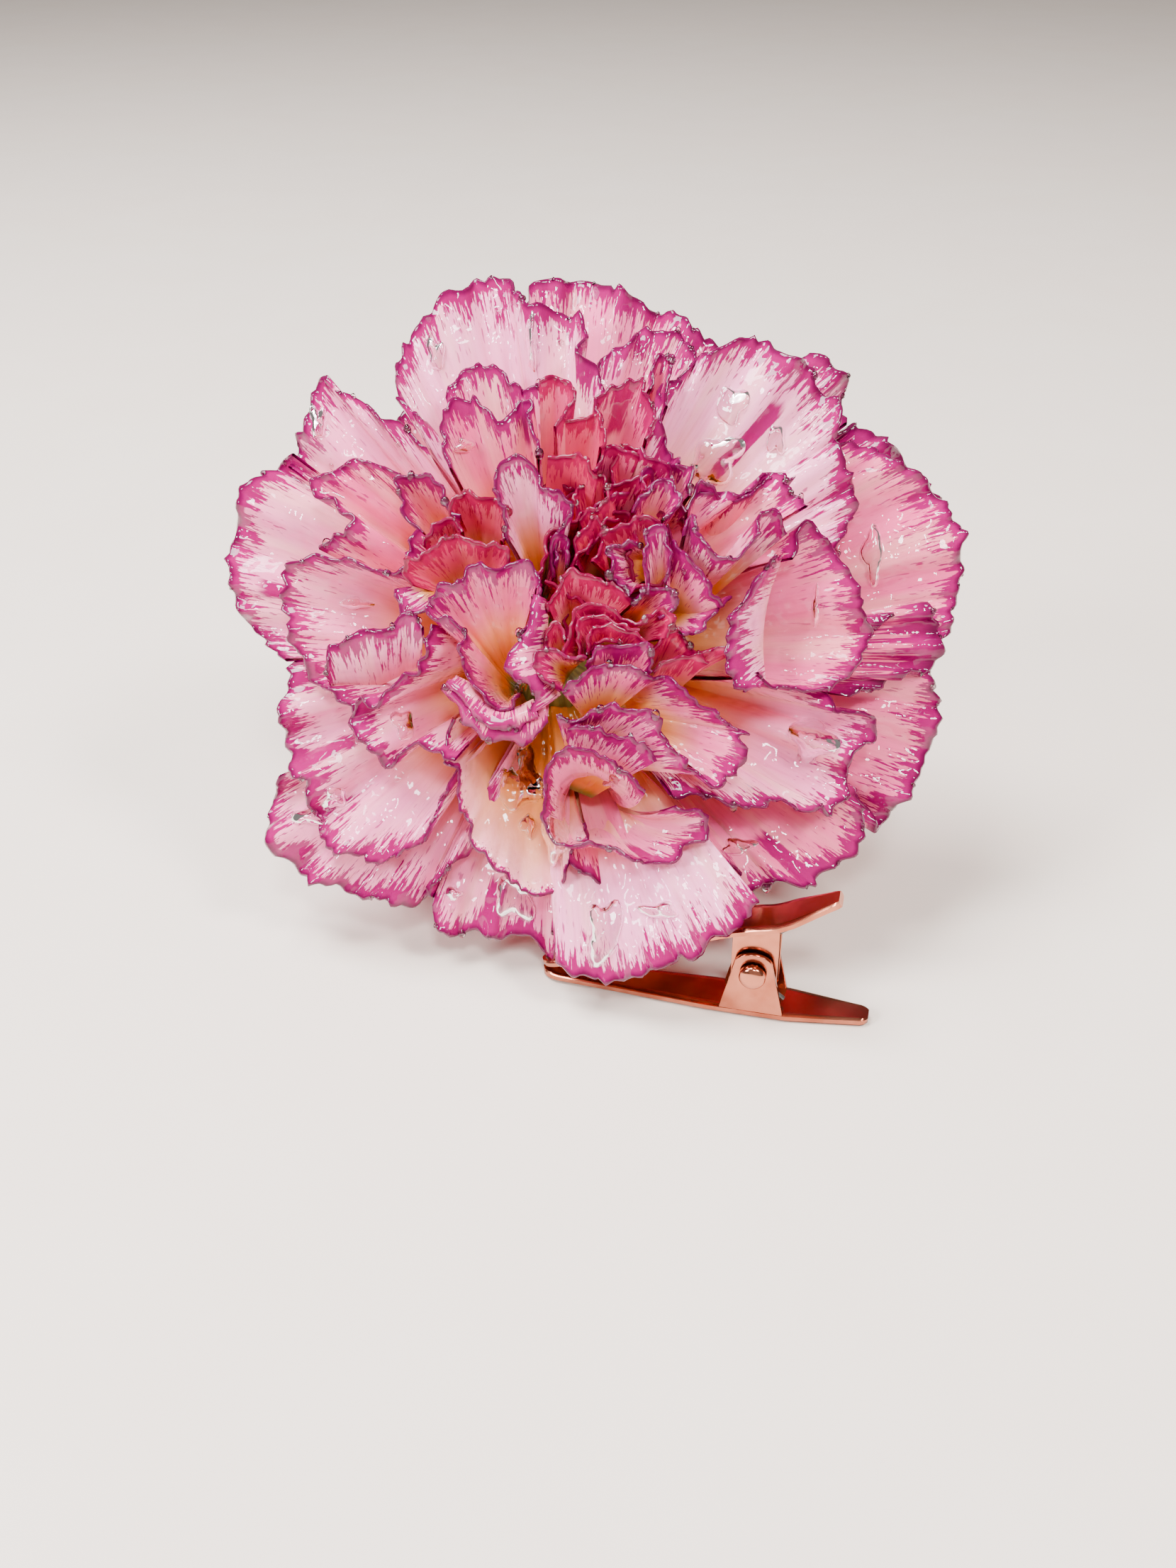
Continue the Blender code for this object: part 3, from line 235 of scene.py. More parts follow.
MIDDLE_PETALS = {
    "bottom_pale": [(-2.5, -21.5, 7.5), (1, -23, 7.5), (4.5, -22.5, 7.5), (8, -24.5, 7),
                    (12, -25.5, 7), (16.5, -23, 6)],
    "low_right_front": [(9, -17, 8), (11, -20.5, 8), (14, -22, 7), (17.5, -23.5, 6),
                        (21, -22.5, 6), (24.5, -20, 5), (25.5, -17, 5), (24, -14, 5)],
    "low_right_wide": [(7.5, -14, 10), (13.5, -16, 9), (17, -15, 9), (21.5, -16.5, 8),
                       (24, -13.5, 7), (24, -11, 7), (26.5, -9.5, 6), (24.5, -7, 7), (20, -4.5, 8)],
    "left_mid": [(-16.5, 10, 8), (-18.5, 7, 7.5), (-21, 6, 7), (-24, 7.5, 6), (-27, 8, 5),
                 (-29, 6, 4), (-29, 2, 4), (-28, -1.5, 4), (-25.5, -4.5, 5), (-22, -7, 6)],
    "left_scroll": [(-18.5, 15.5, 5), (-22.5, 16.5, 4), (-26.5, 14.5, 4), (-24, 12.5, 5.5),
                    (-22.5, 11, 6), (-24.5, 9.5, 5.5), (-26, 8.5, 5)],
    "upper_left": [(-13.5, 16.5, 7), (-14.5, 19.5, 6), (-13.5, 22, 6), (-11, 21.5, 6.5),
                   (-8.5, 20.5, 7), (-6, 22, 7), (-5.5, 20, 8), (-6.5, 17, 9)],
    "upper_left_back": [(-14, 22.5, 3), (-12, 25, 3), (-9, 25, 3), (-7, 23, 4), (-5, 24, 4)],
    "low_left_inner": [(-16, 1.5, 10), (-16, -1.5, 10), (-18, -4, 9), (-22, -5.5, 8),
                       (-22.5, -7, 7.5), (-22, -9.5, 7), (-20, -11.5, 7), (-17, -10, 8),
                       (-13.5, -11.5, 9)],
    "right_roll": [(18, 8.5, 10), (20, 10, 8.5), (22, 8.5, 8), (24.5, 5, 8), (25.5, 1, 8),
                   (25, -2, 8), (23, -4.3, 8.5), (19.5, -4.2, 9.5), (15, -4.5, 11)],
    "cup_back": [(10, 14, 9), (13, 13.5, 9.5), (16, 15, 9.5), (19, 13.5, 10), (19, 12, 11)],
}
CENTRE_PETALS = {
    "crown_streaked": [(0.3, 19.5, 8), (0.5, 22.5, 7), (3.9, 24, 6.5), (5.2, 21.5, 7),
                       (4.8, 18.5, 8)],
    "crown_narrow": [(5, 23.5, 4), (6, 25.5, 3.5), (7.5, 26, 3.5), (6.5, 22, 5)],
    "crown_small": [(-5.3, 24, 8), (-3.2, 24, 8), (-2.2, 22, 9), (-3.7, 19.5, 10)],
    "crown_pocket": [(-3.5, 19.5, 9.5), (-0.5, 20.8, 9), (0.8, 19.5, 9.5), (0.3, 17.5, 10.5)],
    "centre_ledge": [(-4.5, 17, 10.5), (-1.5, 17.3, 11), (0.3, 15.5, 11.5)],
}

# The centre was read off an enlarged crop of the photo. This is its scale in pixels a
# millimetre, and how far its left and top edges lie from the middle of the face, in millimetres
CROP_SCALE = 42.56
CROP_LEFT = 19.74
CROP_TOP = 16.91


def read_off(points):
    """Face-frame places, in tenths of a millimetre, of (pixels across, pixels down, toward) points."""
    return [(round(across / CROP_SCALE - CROP_LEFT, 1), round(CROP_TOP - down / CROP_SCALE, 1), toward)
            for across, down, toward in points]


# Crumpled petals of the centre: the claw's place, the tint (see TINTS) and the rim, as read on the
# crop
RUFFLED_PETALS = {
    "left_pleat": ((330, 420, -2), 0.9, [(130, 300, 7.5), (95, 230, 7.5), (75, 160, 7), (48, 90, 7),
        (80, 58, 7), (150, 68, 7.5), (210, 110, 8), (250, 170, 8.5), (295, 240, 9)]),
    "dark_top": ((420, 470, 0), 1.5, [(275, 230, 9), (262, 165, 9), (320, 130, 9), (375, 160, 9.5),
        (430, 178, 9.5), (470, 195, 10), (485, 260, 10), (470, 340, 10)]),
    "dark_small": ((290, 440, 2), 1.3, [(150, 345, 9.5), (190, 280, 10), (240, 228, 10.3),
        (285, 240, 10.3), (300, 300, 10)]),
    "dark_low": ((360, 560, 3), 1.6, [(95, 500, 9.5), (95, 430, 9.5), (140, 385, 10),
        (205, 335, 10.5), (285, 312, 10.5), (350, 330, 11), (430, 335, 11), (485, 370, 11),
        (495, 440, 11)]),
    "dark_edge": ((230, 520, 6), 0.4, [(48, 515, 9), (62, 590, 9), (125, 628, 9.5), (185, 610, 10)]),
    "centre_tongue": ((640, 545, 3), 0.25, [(500, 330, 10.5), (470, 230, 11.5), (450, 150, 12),
        (436, 85, 12), (455, 30, 12), (495, 5, 12), (550, 3, 12), (592, 40, 12), (612, 98, 12),
        (660, 142, 12), (722, 150, 12), (738, 200, 11.5), (715, 268, 11), (692, 330, 10.5),
        (668, 430, 9.5)]),
    "tongue_right": ((660, 560, 4), 1, [(668, 470, 9.5), (672, 380, 10), (700, 320, 10.5),
        (735, 330, 10.5), (740, 420, 10.5)]),
    "red_blade": ((950, 400, 0), 1.75, [(885, 190, 8.5), (905, 80, 9), (925, -10, 9),
        (985, -40, 8.5), (1045, -10, 8.5), (1040, 70, 9), (1000, 150, 9)]),
    "red_left": ((840, 430, 2), 1.6, [(745, 240, 9.5), (765, 150, 9.5), (820, 90, 9.5),
        (870, 60, 9.5), (885, 140, 9.5)]),
    "red_low": ((880, 520, 3), 1.7, [(745, 420, 10), (755, 330, 10.5), (800, 280, 10.5),
        (850, 250, 10.5), (860, 330, 10.5), (845, 420, 10.5)]),
    "red_slit": ((900, 460, 3), 1.7, [(770, 240, 10), (830, 210, 10.5), (880, 170, 10.5),
        (905, 120, 10.5)]),
    "frill_top": ((1010, 350, 5), 0.9, [(985, 215, 11), (1020, 150, 11), (1070, 98, 10.5),
        (1132, 104, 10.5), (1168, 150, 11), (1150, 205, 11), (1098, 238, 11.5)]),
    "frill_rosy": ((1080, 300, 3), 1, [(1020, 100, 9.5), (1060, 40, 9.5), (1120, 20, 9),
        (1180, 30, 9), (1215, 80, 9.5), (1200, 150, 10)]),
    "frill_mid": ((990, 420, 5), 1.35, [(850, 300, 11), (900, 275, 11), (960, 268, 11),
        (1000, 245, 11.5), (1050, 232, 11.5), (1090, 262, 11.5)]),
    "frill_white": ((1045, 430, 6), 0.5, [(1015, 345, 12), (950, 340, 12), (893, 360, 12),
        (905, 415, 12.5), (886, 460, 12.5), (925, 500, 12.5), (985, 525, 12.5)]),
    "frill_upright": ((1090, 610, 7), 0.55, [(1035, 540, 12.5), (1030, 440, 12.8),
        (1055, 350, 12.8), (1075, 285, 12.5), (1112, 268, 12.5), (1138, 312, 12.5),
        (1132, 400, 12.8), (1112, 490, 12.5)]),
    "frill_fan": ((960, 650, 7), 0.9, [(985, 585, 12), (1045, 528, 12.3), (1110, 502, 12.3),
        (1142, 525, 12.3), (1142, 605, 12.3), (1085, 625, 12.3)]),
    "cup_inner": ((1230, 520, 0), 0.8, [(1205, 200, 10), (1240, 115, 9.5), (1290, 120, 9.5),
        (1335, 145, 9.5), (1385, 168, 9.5), (1445, 150, 9.5), (1500, 108, 9), (1570, 72, 9),
        (1625, 90, 8.5)]),
    "cup_front": ((1190, 600, 4), 0.5, [(1190, 300, 12), (1222, 236, 12.3), (1240, 290, 12.8),
        (1290, 350, 13.2), (1360, 392, 13.5), (1432, 376, 13.5), (1482, 310, 13.2),
        (1468, 250, 12.6), (1505, 214, 12.2), (1570, 232, 11.6), (1600, 300, 11)]),
    "cup_under": ((1140, 640, 6), 0.75, [(1150, 318, 12), (1186, 390, 12.6), (1240, 430, 12.8),
        (1286, 490, 12.8), (1302, 550, 12.8), (1345, 578, 12.6), (1380, 535, 12)]),
    "cup_side": ((1120, 640, 7), 0.6, [(1340, 602, 11.8), (1300, 650, 12), (1245, 692, 12.2),
        (1185, 682, 12.4)]),
    "hood": ((770, 720, 5), 1.4, [(648, 610, 11.5), (664, 540, 12), (690, 470, 12.2),
        (725, 440, 12.2), (780, 474, 12.2), (850, 490, 12.2), (930, 520, 12.2), (985, 565, 12)]),
    "swirl_outer": ((870, 760, 6), 1.5, [(715, 800, 12.2), (724, 720, 12.6), (738, 640, 12.7),
        (772, 594, 12.7), (850, 580, 12.7), (905, 612, 12.7), (1000, 642, 12.7), (1108, 602, 12.6),
        (1134, 640, 12.5), (1128, 710, 12.3)]),
    "swirl_mid": ((860, 790, 7), 1.55, [(770, 780, 12.8), (755, 700, 12.9), (790, 640, 12.9),
        (860, 625, 12.9), (930, 650, 12.9), (1010, 680, 12.8)]),
    "swirl_inner": ((870, 810, 8), 1.75, [(800, 770, 13), (806, 700, 13.1), (832, 664, 13.1),
        (890, 664, 13.1), (950, 690, 13.1), (1022, 700, 13), (1064, 745, 12.8)]),
    "swirl_heart": ((850, 790, 9), 1.85, [(822, 765, 12.6), (826, 725, 12.8), (860, 708, 12.8),
        (905, 718, 12.8), (940, 740, 12.6)]),
    "pale_upper": ((900, 930, 8), 1, [(795, 812, 13), (840, 772, 13.3), (900, 750, 13.4),
        (960, 744, 13.4), (1032, 746, 13.3), (1066, 790, 13), (1062, 850, 12.5)]),
    "pale_lower": ((850, 1020, 8), 0.9, [(700, 925, 12.6), (745, 898, 12.9), (800, 858, 13.2),
        (870, 826, 13.4), (950, 818, 13.4), (1020, 840, 13.4), (1072, 876, 13)]),
    "left_knot": ((730, 850, 9), 1.2, [(700, 930, 12.4), (642, 892, 12.5), (604, 822, 12.6),
        (608, 768, 12.6), (655, 758, 12.7), (715, 775, 12.8), (800, 792, 13)]),
    "knot_back": ((700, 820, 8), 1.6, [(640, 770, 12), (634, 700, 12.1), (655, 642, 12.1),
        (700, 640, 12.1), (722, 730, 12.2)]),
    "arc_right": ((1060, 920, 6), 1.7, [(1062, 750, 11.8), (1110, 702, 11.8), (1162, 684, 11.5),
        (1205, 740, 11.2), (1290, 768, 11), (1375, 772, 10.5)]),
    "arc_low": ((1080, 950, 7), 1.6, [(1066, 842, 12), (1120, 800, 11.8), (1200, 800, 11.4),
        (1290, 815, 11)]),
    "low_s_rim": ((780, 1200, 7), 0.7, [(682, 1036, 12.3), (760, 1030, 12.6), (830, 1006, 12.9),
        (900, 988, 13.1), (960, 1000, 13.3), (1036, 1000, 13.5), (1082, 1040, 13.5),
        (1096, 1085, 13.5), (1142, 1130, 13.4), (1162, 1180, 13.2), (1212, 1222, 13),
        (1262, 1262, 12.8)]),
    "peach_ridge": ((780, 1330, 6), 0.55, [(725, 1060, 12.5), (800, 1070, 12.7), (870, 1090, 12.9),
        (940, 1115, 13), (1000, 1135, 13.1), (1052, 1162, 13.1), (1082, 1210, 13)]),
    "low_point": ((930, 990, 7), 0.75, [(1060, 885, 12.2), (1130, 868, 12.4), (1168, 900, 12.6),
        (1230, 950, 12.6), (1290, 1000, 12.5), (1345, 1048, 12.3), (1400, 1080, 12.2),
        (1458, 1100, 12.2), (1412, 1116, 12.2), (1426, 1170, 12.1), (1420, 1222, 12),
        (1388, 1264, 12), (1312, 1305, 12), (1250, 1262, 12)]),
    "funnel_lobe": ((505, 905, 3), 0.85, [(540, 935, 10.5), (490, 1000, 11.2), (440, 998, 11.3),
        (380, 940, 11.3), (340, 880, 11.3), (312, 800, 11.2), (308, 720, 11.2), (275, 668, 11),
        (190, 628, 10.6), (176, 560, 10.6), (208, 508, 10.8), (262, 504, 11), (300, 480, 11.2),
        (312, 440, 11.3), (350, 420, 11.4), (400, 440, 11.5), (440, 440, 11.5), (482, 414, 11.5),
        (542, 420, 11.6), (592, 450, 11.7), (612, 505, 11.8)]),
    "funnel_back": ((560, 900, 4), 0.9, [(612, 505, 11.8), (596, 560, 12), (578, 640, 12.2),
        (548, 700, 12.2)]),
}

# Broad magenta stripes: share of the way along the rim, and how far in they begin and end
STRIPES = {
    "crown_right": (0.55, 3.2, 13.0), "low_left_front": (0.29, -2.0, 7.0),
    "bottom_funnel": (0.73, -2.0, 5.0), "bottom_centre": (0.37, -2.0, 5.5),
    "low_right_front": (0.55, -2.0, 7.5), "crown_streaked": (0.45, -2.0, 6.0),
    "left_outer": (0.6, 2.0, 6.0), "upper_left": (0.7, -2.0, 4.5),
}
NO_STRIPE = (0.0, 1.0, 0.0)

# Resin on the petals: the puddles' shape, the beads, and each puddle's centre (across, up), half
# sizes and thickness
FILM_RINGS = 9
FILM_SEGMENTS = 36
FILM_LOBE = 0.13
FILM_DRAPE = 2.2
FILM_SMOOTHINGS = 5
FILM_DOME = 1.5
FILM_SINK = 0.3
FILM_SKIN = 0.25
FILM_SIGHT = 40
BEAD_COUNT = 240
BEAD_RADII = (0.16, 0.2, 0.24, 0.3, 0.42)
BEADS_ON_RIMS = 0.75
BEAD_RISE = 0.15
FILMS = [
    ((11.3, 16.8), (2.6, 2.3), 0.6), ((-7.2, -13.4), (2.2, 3.2), 0.8),
    ((-7.4, -4.3), (0.9, 0.9), 0.9), ((20.6, -9.4), (2.3, 2.2), 0.8),
    ((0.8, -27.8), (1.8, 3.4), 0.6), ((-7.8, -24.6), (1.9, 2.5), 0.6),
    ((-14.8, 26.4), (0.9, 1.7), 0.45), ((-6.0, 27.4), (0.55, 2.8), 0.45),
    ((-24.8, -15.0), (1.3, 1.2), 0.6), ((-27.5, -16.8), (1.6, 0.9), 0.5),
    ((-3.8, -18.6), (1.2, 2.8), 0.5), ((20.7, 3.0), (0.5, 1.9), 0.5),
    ((-13.6, -24.2), (1.0, 0.7), 0.5), ((-6.4, -17.6), (0.8, 1.4), 0.5),
    ((12.6, 21.8), (1.5, 2.0), 0.4), ((16.8, 18.6), (0.9, 1.6), 0.4),
    ((-22.6, 3.4), (1.5, 0.7), 0.4), ((6.0, -25.8), (1.9, 1.0), 0.45),
    ((-25.8, 20.2), (0.8, 1.8), 0.4), ((26.0, 8.0), (1.2, 2.6), 0.35),
    ((-18.2, -8.0), (1.2, 1.6), 0.4), ((13.6, -19.6), (1.8, 0.9), 0.4),
    ((-12.2, 18.0), (1.0, 0.8), 0.4), ((1.6, -13.4), (1.1, 0.8), 0.4),
]

# Pale petal under the resin between the two funnels
CREAM_FLOOR = [(-14, -7.5, 8), (-13.5, -12, 7.8), (-12.5, -16.5, 7.4), (-10.5, -20.5, 7),
               (-7, -23.5, 6.8), (-4, -24, 6.8), (-2.2, -21, 7.4), (-1.6, -17, 8)]

# Petals rolled into a funnel: the throat and the rim that runs round it
FUNNEL_PETALS = {
    "bottom_funnel": dict(
        throat=(-0.8, -14.5, 3), throat_radius=2.0,
        rim=[(4.5, -14.5, 12.5), (2.6, -12.3, 13), (0.7, -10.7, 13), (-1.6, -10.4, 13),
             (-3.8, -11.4, 12.5), (-5.2, -13.4, 12.2), (-5, -16.8, 11.8), (-3.2, -19.1, 11.2),
             (0.5, -19.9, 11), (4.9, -20.9, 10.7), (7.3, -21.2, 10.5), (8.5, -19.6, 10.5),
             (10.4, -18.9, 10.5), (10.2, -16.7, 11), (7.5, -15.7, 11.8)]),
}

# Flaps that stand on another petal: the line they fold from and their rim
FLAP_PETALS = {
    "left_fold": dict(
        base=[(-25, -4.8, 3), (-21, -4.2, 4), (-16.5, -2.2, 5)],
        rim=[(-25.5, -3, 7.5), (-24.5, -0.5, 8.5), (-20.5, 0.8, 9), (-17.5, 2.3, 9.5),
             (-16.2, 1, 9.5)]),
    "roll_side": dict(
        base=[(17.5, 8.5, 9), (16, 4, 8), (15.5, 0, 8), (15.8, -4.2, 10)],
        rim=[(16.8, 7.8, 11.5), (14.2, 4.5, 12), (12.9, 1.8, 12.2), (12.4, -0.9, 12.2),
             (12.9, -3.3, 12.2), (13.9, -4.6, 12), (15.5, -4.4, 11.5)]),
    "funnel_lip": dict(
        base=[(-5, 3.8, 11), (-4.8, 1.6, 11), (-5.2, -0.9, 11), (-4.6, -3.8, 10.8),
              (-3.5, -5.3, 10.5)],
        rim=read_off([(600, 540, 12), (578, 620, 12.6), (556, 690, 12.8), (500, 750, 12.9),
                      (490, 790, 12.9), (522, 850, 12.9), (578, 905, 12.8), (592, 960, 12.6),
                      (570, 1022, 12.2)])),
    "skirt_front": dict(
        base=[(-13.3, -3.6, 9.5), (-11.8, -4.4, 10), (-10.6, -5.8, 10.2), (-9.3, -6.8, 10.4),
              (-7.6, -6.6, 10.6), (-5.8, -5.8, 10.8)],
        rim=[(-14.2, -4.1, 10.5), (-12.8, -5.8, 11), (-11, -7.4, 11.4), (-9.5, -8.2, 11.6),
             (-7.4, -8.1, 11.8), (-5.4, -7.4, 12)]),
    "skirt_back": dict(
        base=[(-14, -3.9, 8.5), (-12.6, -4.6, 9), (-10.8, -6.2, 9.4), (-8.6, -7.2, 9.8),
              (-6.4, -6.6, 10), (-4.6, -5.2, 10.2)],
        rim=[(-14.6, -4.6, 9.6), (-13.2, -6.4, 10.2), (-11.2, -8.8, 10.6), (-8.5, -9.7, 11),
             (-6.2, -9.4, 11.2), (-4.6, -8, 11.4)]),
}

# How pink each petal is: 0 is the palest lilac white, 1 the full pink, 2 the crimson of the centre
TINTS = {
    "crown_left": 0.2, "crown_right": 0.0, "crown_back": 0.6, "crown_front": 0.5,
    "crown_flap": 0.5, "left_horn": 0.4, "left_outer": 0.4, "right_upper": 0.9,
    "right_back": 0.8, "right_dark": 0.9, "right_lower": 0.8, "low_left_front": 0.4,
    "low_left_back": 0.4, "bottom_centre": 0.5, "bottom_right": 0.1, "bottom_pale": 0.7,
    "low_right_front": 0.8, "low_right_wide": 0.4, "left_mid": 0.5, "left_scroll": 1.0,
    "upper_left": 0.9, "upper_left_back": 0.6, "low_left_inner": 0.5, "right_roll": 0.8,
    "cup_back": 0.7, "crown_streaked": 1.2, "crown_narrow": 1.0, "crown_small": 1.3,
    "crown_pocket": 1.5, "centre_ledge": 1.7, "bottom_funnel": 0.6, "left_fold": 0.3,
    "roll_side": 0.1, "funnel_lip": 0.6, "skirt_front": 0.7, "skirt_back": 0.8,
}

# Soft studio light, in metres: each lamp's place, size, power and tone
LIGHT_TARGET = (-0.0146, 0.0205, 0.027)
LIGHTS = {
    "window": ((-0.20, 0.06, 0.50), 0.26, 6.6, "#FFFFFF"),
    "window_left": ((-0.40, -0.20, 0.30), 0.12, 2.6, "#FFFFFF"),
    "window_right": ((0.26, -0.16, 0.44), 0.11, 2.6, "#FFFAF4"),
    "lamp": ((0.02, -0.34, 0.52), 0.09, 2.4, "#FFFFFF"),
    "fill": ((0.1, -0.7, 0.25), 1.2, 1.6, "#FFF0E6"),
}
SURROUND_TONE = "#FFF6F0"
SURROUND_STRENGTH = 0.25

# The photograph's view
CAMERA_PLACE = (-0.0153, -0.11195, 0.0974)
CAMERA_TILT = math.radians(56.8)
CAMERA_LENS = 36.37


# Colour and shader helpers

def colour(code):
    """Linear colour of an sRGB hex value."""
    parts = [int(code[i:i + 2], 16) / 255 for i in (1, 3, 5)]
    linear = [c / 12.92 if c <= 0.04045 else ((c + 0.055) / 1.055) ** 2.4 for c in parts]
    return (*linear, 1.0)


def node(tree, kind, values=None, links=None, **settings):
    """Add one node with its properties, socket values and incoming links."""
    made = tree.nodes.new(kind)
    for name, value in settings.items():
        setattr(made, name, value)
    for socket, value in (values or {}).items():
        made.inputs[socket].default_value = value
    for socket, source in (links or {}).items():
        tree.links.new(source, made.inputs[socket])
    return made


def new_material(name):
    """Empty node material and its output's tree."""
    made = bpy.data.materials.new(name)
    made.use_nodes = True
    made.node_tree.nodes.clear()
    return made, made.node_tree


def smooth_step(tree, value, low, high, to_low=0.0, to_high=1.0):
    """Soft step of a value between two limits."""
    ranged = node(tree, "ShaderNodeMapRange", {1: low, 2: high, 3: to_low, 4: to_high},
                  {0: value}, interpolation_type="SMOOTHSTEP")
    return ranged.outputs[0]


def maths(tree, operation, first, second):
    """One sum, product or other step; numbers and sockets may be mixed."""
    values = {i: v for i, v in enumerate((first, second)) if isinstance(v, (int, float))}
    links = {i: v for i, v in enumerate((first, second)) if not isinstance(v, (int, float))}
    return node(tree, "ShaderNodeMath", values, links, operation=operation).outputs[0]


def mixed(tree, factor, first, second):
    """Colour between two colours; each may be a socket or a hex value."""
    values = {}
    links = {}
    for index, item in ((0, factor), (6, first), (7, second)):
        if isinstance(item, str):
            values[index] = colour(item)
        elif isinstance(item, (int, float)):
            values[index] = item
        else:
            links[index] = item
    return node(tree, "ShaderNodeMix", values, links, data_type="RGBA").outputs[2]


def noise(tree, vector, scale, detail, values=None, **settings):
    """Noise over a vector, or over the piece's own metres where none is given."""
    if vector is None:
        vector = node(tree, "ShaderNodeTexCoord").outputs["Object"]
    sockets = {"Scale": scale, "Detail": detail, **(values or {})}
    return node(tree, "ShaderNodeTexNoise", sockets, {"Vector": vector}, **settings).outputs[0]


def bump(tree, height, strength, distance):
    """Normal of a relief."""
    relief = node(tree, "ShaderNodeBump", {"Strength": strength, "Distance": distance},
                  {"Height": height})
    return relief.outputs[0]


def map_parts(tree, name):
    """The two parts of a named UV map."""
    layer = node(tree, "ShaderNodeUVMap", uv_map=name)
    parts = node(tree, "ShaderNodeSeparateXYZ", links={0: layer.outputs[0]})
    return parts.outputs[0], parts.outputs[1]


def stretched(tree, along, inward, share):
    """Vector that runs faster along the rim than inward, for streaks across the margin."""
    slow = maths(tree, "MULTIPLY", inward, share)
    return node(tree, "ShaderNodeCombineXYZ", links={0: along, 1: slow}).outputs[0]


def surface(tree, values, links):
    """Principled shader joined to the material's output."""
    shader = node(tree, "ShaderNodeBsdfPrincipled", values, links)
    node(tree, "ShaderNodeOutputMaterial", links={0: shader.outputs[0]})


def petal_margin(tree, grain, fine, inward):
    """Picotee margin: solid for about a millimetre, then streaks of up to 6 mm."""
    broad = noise(tree, grain, 0.3, 2.0)
    feather = smooth_step(tree, fine, 0.38, 0.66)
    swell = smooth_step(tree, broad, 0.36, 0.66, 0.4, 1.0)
    streak = maths(tree, "MULTIPLY", maths(tree, "POWER", feather, 1.3), swell)
    solid = maths(tree, "MULTIPLY", swell, 1.25)
    edge = maths(tree, "ADD", maths(tree, "MULTIPLY", streak, 5.0), solid)
    return smooth_step(tree, maths(tree, "DIVIDE", inward, edge), 0.72, 1.02, 1.0, 0.0)


def petal_marks(tree, along, inward, fine):
    """Loose flecks and dashes inside the margin, and here and there a broad stripe."""
    dashes = noise(tree, stretched(tree, along, inward, 0.22), 3.1, 1.5, {"W": 3.0},
                   noise_dimensions="4D")
    fade = smooth_step(tree, inward, 2.0, 10.0, 0.85, 0.0)
    flecks = maths(tree, "MULTIPLY", smooth_step(tree, dashes, 0.63, 0.69), fade)
    ragged = maths(tree, "MULTIPLY", maths(tree, "SUBTRACT", fine, 0.5), 1.6)
    aside, within = map_parts(tree, "stripe")
    beside = smooth_step(tree, maths(tree, "ADD", aside, ragged), 0.8, 1.1, 1.0, 0.0)
    inside = smooth_step(tree, maths(tree, "ADD", within, ragged), 0.0, 1.2)
    return maths(tree, "MAXIMUM", flecks, maths(tree, "MULTIPLY", beside, inside))


def petal_tissue(tree, grain, veins, height, tint):
    """Olive claw, orange and cream base partly painted as glow in shaded gaps, pink limb, crimson in
    the centre petals, with painted shade low on them.
    """
    clouds = noise(tree, grain, 0.25, 3.0)
    limb = mixed(tree, smooth_step(tree, tint, 0.0, 1.0), "#FC96C6", "#EC568C")
    limb = mixed(tree, smooth_step(tree, clouds, 0.4, 0.7, 0.0, 0.45), limb, "#F6BAA4")
    limb = mixed(tree, smooth_step(tree, veins, 0.45, 0.7, 0.0, 0.2), limb, "#C43070")
    limb = mixed(tree, smooth_step(tree, tint, 1.1, 1.8, 0.0, 0.85), limb, "#DC0A50")
    # Orange and cream low on each petal: partly the claw's own colour, partly painted glow of light
    # through the petals into the shaded gaps between them
    base = mixed(tree, smooth_step(tree, height, 0.02, 0.16), "#6E6A24", "#D4701E")
    base = mixed(tree, smooth_step(tree, height, 0.2, 0.5), base, "#F0A060")
    # Dark crimson low on the centre petals is painted shade deep in the bloom's centre
    base = mixed(tree, smooth_step(tree, tint, 1.2, 1.8, 0.0, 0.7), base, "#90021E")
    return mixed(tree, smooth_step(tree, height, 0.35, 0.72), base, limb)


def picotee_petal():
    """Dried carnation petal under clear casting resin: matt tissue below a wet, glassy coat."""
    made, tree = new_material("petal_in_resin")
    along, inward = map_parts(tree, "blade")
    height, tint = map_parts(tree, "place")

    # Streaks about 0.3 mm wide and 2.7 mm long, and veins about 0.6 mm wide
    grain = stretched(tree, along, inward, 0.12)
    fine = noise(tree, grain, 3.1, 3.5, {"Roughness": 0.65})
    veins = noise(tree, grain, 1.6, 2.0)
    tissue = petal_tissue(tree, grain, veins, height, tint)
    margin = petal_margin(tree, grain, fine, inward)
    marks = petal_marks(tree, along, inward, fine)

    # Magenta, crimson in the centre petals, and darker at the very rim
    crimson = smooth_step(tree, tint, 0.9, 1.5)
    rim = mixed(tree, crimson, "#60003A", "#780032")
    inner = mixed(tree, crimson, "#96005C", "#B80050")
    deep = mixed(tree, smooth_step(tree, inward, 0.0, 0.6), rim, inner)
    painted = mixed(tree, maths(tree, "MAXIMUM", margin, marks), tissue, deep)

    # The coat is uneven every 4 mm or so, as brushed-on resin is
    ripple = noise(tree, None, 260.0, 2.0)
    surface(tree,
            {"Roughness": 0.6, "IOR": 1.4, "Specular IOR Level": 0.0, "Subsurface Weight": 0.05,
             "Subsurface Radius": (1.0, 0.3, 0.3), "Subsurface Scale": 0.0007,
             "Coat Weight": 1.0, "Coat Roughness": 0.02, "Coat IOR": 1.42},
            {"Base Color": painted, "Normal": bump(tree, veins, 0.35, 0.00012),
             "Coat Normal": bump(tree, ripple, 0.9, 0.0019)})
    return made


